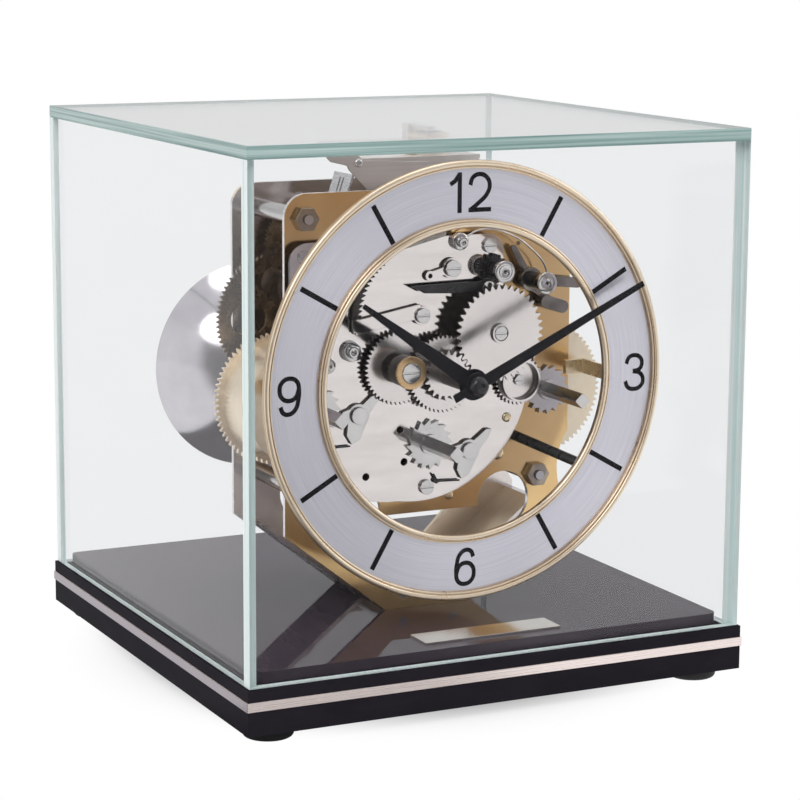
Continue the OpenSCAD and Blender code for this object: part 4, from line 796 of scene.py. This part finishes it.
# Across the rim, from its outer edge to the dial, in shares of its width and height: a round crown,
# a turned groove and a thin bead beside the dial.
rim_section = [(0.0, 0.0), (0.0, 0.55), (0.05, 0.74), (0.14, 0.90), (0.26, 0.98), (0.38, 1.0),
               (0.50, 0.96), (0.59, 0.87), (0.64, 0.74), (0.66, 0.52), (0.71, 0.52), (0.73, 0.66),
               (0.80, 0.72), (0.88, 0.68), (0.93, 0.56), (0.95, 0.14), (1.0, 0.14), (1.0, 0.0)]
outer_rim = [(rim_outside - u*rim_width, dial_face_y - h*rim_height) for u, h in rim_section]
inner_rim = [(rim_inside + u*rim_width, dial_face_y - h*rim_height) for u, h in rim_section]
rims = spun("spun_rims", [(dial_centre, outer_rim), (dial_centre, inner_rim)], rim_gold, "case", "gold_rim",
            "dial_rims")
# The rims' flanks and groove walls take a darker gold: painted shade, for thin dark lines at the outer
# edge, in the groove and beside the dial.
rim_flank_shade = finish("rim_flank_shade", (0.56, 0.41, 0.27), (0.70, 0.53, 0.37), (0.26, 0.36), metallic=1.0,
                   grain=(120, 120, 120))
rims.data.materials.append(rim_flank_shade)
for face in rims.data.polygons:
    if abs(face.normal.y) < 0.4:
        face.material_index = 1

# The hour marks are printed on the ring in black: a bar at eight hours, and plain upright numbers
# at twelve, three, six and nine, drawn as even strokes.
print_black = finish("dial_print", (0.006, 0.005, 0.008), (0.011, 0.010, 0.013), (0.40, 0.55),
                     grain=(700, 700, 700), shine=0.08)
print_height = 0.00006
bar_inner = 0.0689
bar_outer = 0.0874
bar_width = 0.0022
bm = bmesh.new()
for hour in range(12):
    if hour % 3 == 0:
        continue
    bar = bmesh.ops.create_cube(bm, size=1.0)["verts"]
    size = Matrix.Diagonal((bar_width, print_height, bar_outer - bar_inner, 1))
    out = Matrix.Translation((0, 0, (bar_inner + bar_outer)/2))
    at_hour = Matrix.Rotation(math.radians(30*hour), 4, "Y")
    to_face = Matrix.Translation((dial_centre.x, dial_face_y - print_height/2, dial_centre.z))
    bmesh.ops.transform(bm, verts=bar, matrix=to_face @ at_hour @ out @ size)
shown("hour_bars", settled(bm, "hour_bars"), [print_black], "case", "hand_black")

# Each number is a set of strokes through a few points, in shares of the number's width and height.
# A stroke marked straight runs in lines from point to point, and the others bend smoothly.
strokes_of = {
    "1": [("straight", [(0.0, 0.74), (0.50, 0.83), (1.0, 1.03)]),
          ("straight", [(1.0, -0.07), (1.0, 1.07)])],
    "2": [("smooth", [(0.02, 0.70), (0.14, 0.91), (0.48, 1.0), (0.84, 0.90), (0.98, 0.68), (0.84, 0.43),
                      (0.45, 0.20), (0.02, 0.0)]), ("straight", [(-0.06, 0.0), (1.06, 0.0)])],
    "3": [("smooth", [(0.04, 0.76), (0.18, 0.94), (0.50, 1.0), (0.82, 0.92), (0.92, 0.74), (0.78, 0.58),
                      (0.42, 0.53)]),
          ("smooth", [(0.42, 0.53), (0.82, 0.46), (1.0, 0.26), (0.86, 0.07), (0.48, 0.0), (0.14, 0.07),
                      (0.0, 0.25)])],
    "6": [("smooth", [(0.96, 0.78), (0.82, 0.95), (0.54, 1.0), (0.20, 0.88), (0.03, 0.58), (0.0, 0.36),
                      (0.12, 0.09), (0.48, 0.0), (0.86, 0.09), (1.0, 0.31), (0.86, 0.54), (0.52, 0.62),
                      (0.18, 0.54), (0.02, 0.33)])],
}
strokes_of["9"] = [(kind, [(1 - x, 1 - z) for x, z in points]) for kind, points in strokes_of["6"]]


def number_strokes(digit, left, low, width, height, stroke):
    """The strokes of one number, pressed flat on the dial, each with the pen's width."""
    inset = stroke/2
    lines = []
    for kind, points in strokes_of[digit]:
        places = [(left + inset + x*(width - stroke), 0, low + inset + z*(height - stroke))
                  for x, z in points]
        lines.append(("VECTOR" if kind == "straight" else "AUTO", places))
    mesh = drawn("number_" + digit, lines, stroke, smoothness=10)
    flat = Matrix.Diagonal((1, print_height/stroke, 1, 1))
    mesh.transform(Matrix.Translation((0, dial_face_y, 0)) @ flat)
    return mesh


number_height = 0.0167
number_stroke = 0.0020
# Each number's place to the right of and above the hands' centre, and its width
number_places = [("1", -0.0097, 0.0710, 0.0064), ("2", -0.0006, 0.0710, 0.0114),
                 ("3", 0.0757, -0.0098, 0.0108), ("6", -0.0053, -0.0875, 0.0104),
                 ("9", -0.0861, -0.0083, 0.0106)]
for digit, right, up, width in number_places:
    corner = on_dial(right, up)
    mesh = number_strokes(digit, corner.x, corner.z, width, number_height, number_stroke)
    shown("number_" + digit, mesh, [print_black], "case", "hand_black")

# The hands are stamped steel in a satin black paint, pressed on their pipes.
# The hub nut in front of them is turned, domed and blackened.
hand_paint = finish("hand_paint", (0.006, 0.005, 0.008), (0.010, 0.009, 0.013), (0.30, 0.42),
                    grain=(600, 600, 600), shine=0.12)
eased("hour_hand", sheet_edge, hand_paint)
eased("minute_hand", sheet_edge, hand_paint)
nut_black = finish("nut_black", (0.006, 0.005, 0.007), (0.010, 0.009, 0.012), (0.05, 0.10), shine=0.6,
                   grain=(400, 400, 400))
nut_low, nut_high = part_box("hand_nut")
nut_radius = (nut_high.x - nut_low.x)/2
nut_length = nut_high.y - nut_low.y
# Across the nut, from its bore at the back to the dimple in its domed front, in shares of its radius
# and length
nut_section = [(0.20, 0.0), (0.92, 0.0), (1.0, 0.06), (1.0, 0.42), (0.97, 0.58), (0.88, 0.74),
               (0.74, 0.87), (0.58, 0.96), (0.46, 1.0), (0.38, 0.99), (0.30, 0.88), (0.22, 0.80),
               (0.10, 0.76), (0.02, 0.75)]
nut_turning = [(r*nut_radius, nut_high.y - h*nut_length) for r, h in nut_section]
spun("domed_nut", [(dial_centre, nut_turning)], nut_black, body_of["hand_nut"], "hand_black", "hand_nut")

# The hood is five panes of 5 mm float glass, bonded edge to face with clear cement.
# Their ground edges show pale green, because light reaches them the long way through the glass; here they
# are opaque and that light is painted on them, darker on the top edges, paler with bright lines on the
# upright and foot edges.
hood_glass = bpy.data.materials.new("hood_glass")
hood_glass.use_nodes = True
tree = hood_glass.node_tree
glass = tree.nodes["Principled BSDF"]
glass.inputs["Base Color"].default_value = (0.915, 0.92, 0.925, 1)
glass.inputs["Transmission Weight"].default_value = 1.0
glass.inputs["Roughness"].default_value = 0.0
glass.inputs["IOR"].default_value = 1.15
clear = tree.nodes.new("ShaderNodeBsdfTransparent")
path = tree.nodes.new("ShaderNodeLightPath")
blend = tree.nodes.new("ShaderNodeMixShader")
link(tree, path, "Is Shadow Ray", blend, "Fac")
tree.links.new(glass.outputs[0], blend.inputs[1])
tree.links.new(clear.outputs[0], blend.inputs[2])
link(tree, blend, "Shader", tree.nodes["Material Output"], "Surface")
# Painted light on the opaque edges: a darker finish for the top edges, a paler one with near-white lines
# for the upright and foot edges.
level_edge_shade = finish("level_edge_shade", (0.15, 0.27, 0.26), (0.52, 0.66, 0.63), (0.08, 0.20), grain=(7, 7, 900))
upright_edge_lit = finish("upright_edge_lit", (0.66, 0.86, 0.84), (0.98, 1.0, 0.99), (0.08, 0.20),
                      grain=(900, 900, 4))
bond_gap = 0.00004
edge_break = 0.0003
top_low, top_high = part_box("glass_top")
pane_thickness = top_high.z - top_low.z
for node in ("glass_front", "glass_back", "glass_left", "glass_right", "glass_top"):
    low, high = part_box(node)
    size = high - low - Vector((bond_gap, bond_gap, bond_gap))
    bm = bmesh.new()
    bmesh.ops.create_cube(bm, size=1.0)
    bmesh.ops.scale(bm, vec=size, verts=bm.verts)
    bmesh.ops.translate(bm, vec=(low + high)/2, verts=bm.verts)
    bmesh.ops.bevel(bm, geom=bm.edges[:], offset=edge_break, offset_type="OFFSET", affect="EDGES",
                    segments=1, profile=0.5, material=-1)
    broad = sorted(bm.faces, key=lambda f: f.calc_area())[-2:]
    for face in bm.faces:
        heights = [v.co.z for v in face.verts]
        upright = max(heights) - min(heights) > 2*pane_thickness
        foot_edge = node != "glass_top" and max(heights) < low.z + pane_thickness
        face.material_index = 0 if face in broad else 2 if upright or foot_edge else 1
    mesh = settled(bm, node + "_pane")
    for material in (hood_glass, level_edge_shade, upright_edge_lit):
        mesh.materials.append(material)
    piece = bpy.data.objects.new(node + "_pane", mesh)
    scene.collection.objects.link(piece)
    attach(piece, "glass_hood")
    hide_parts(node)
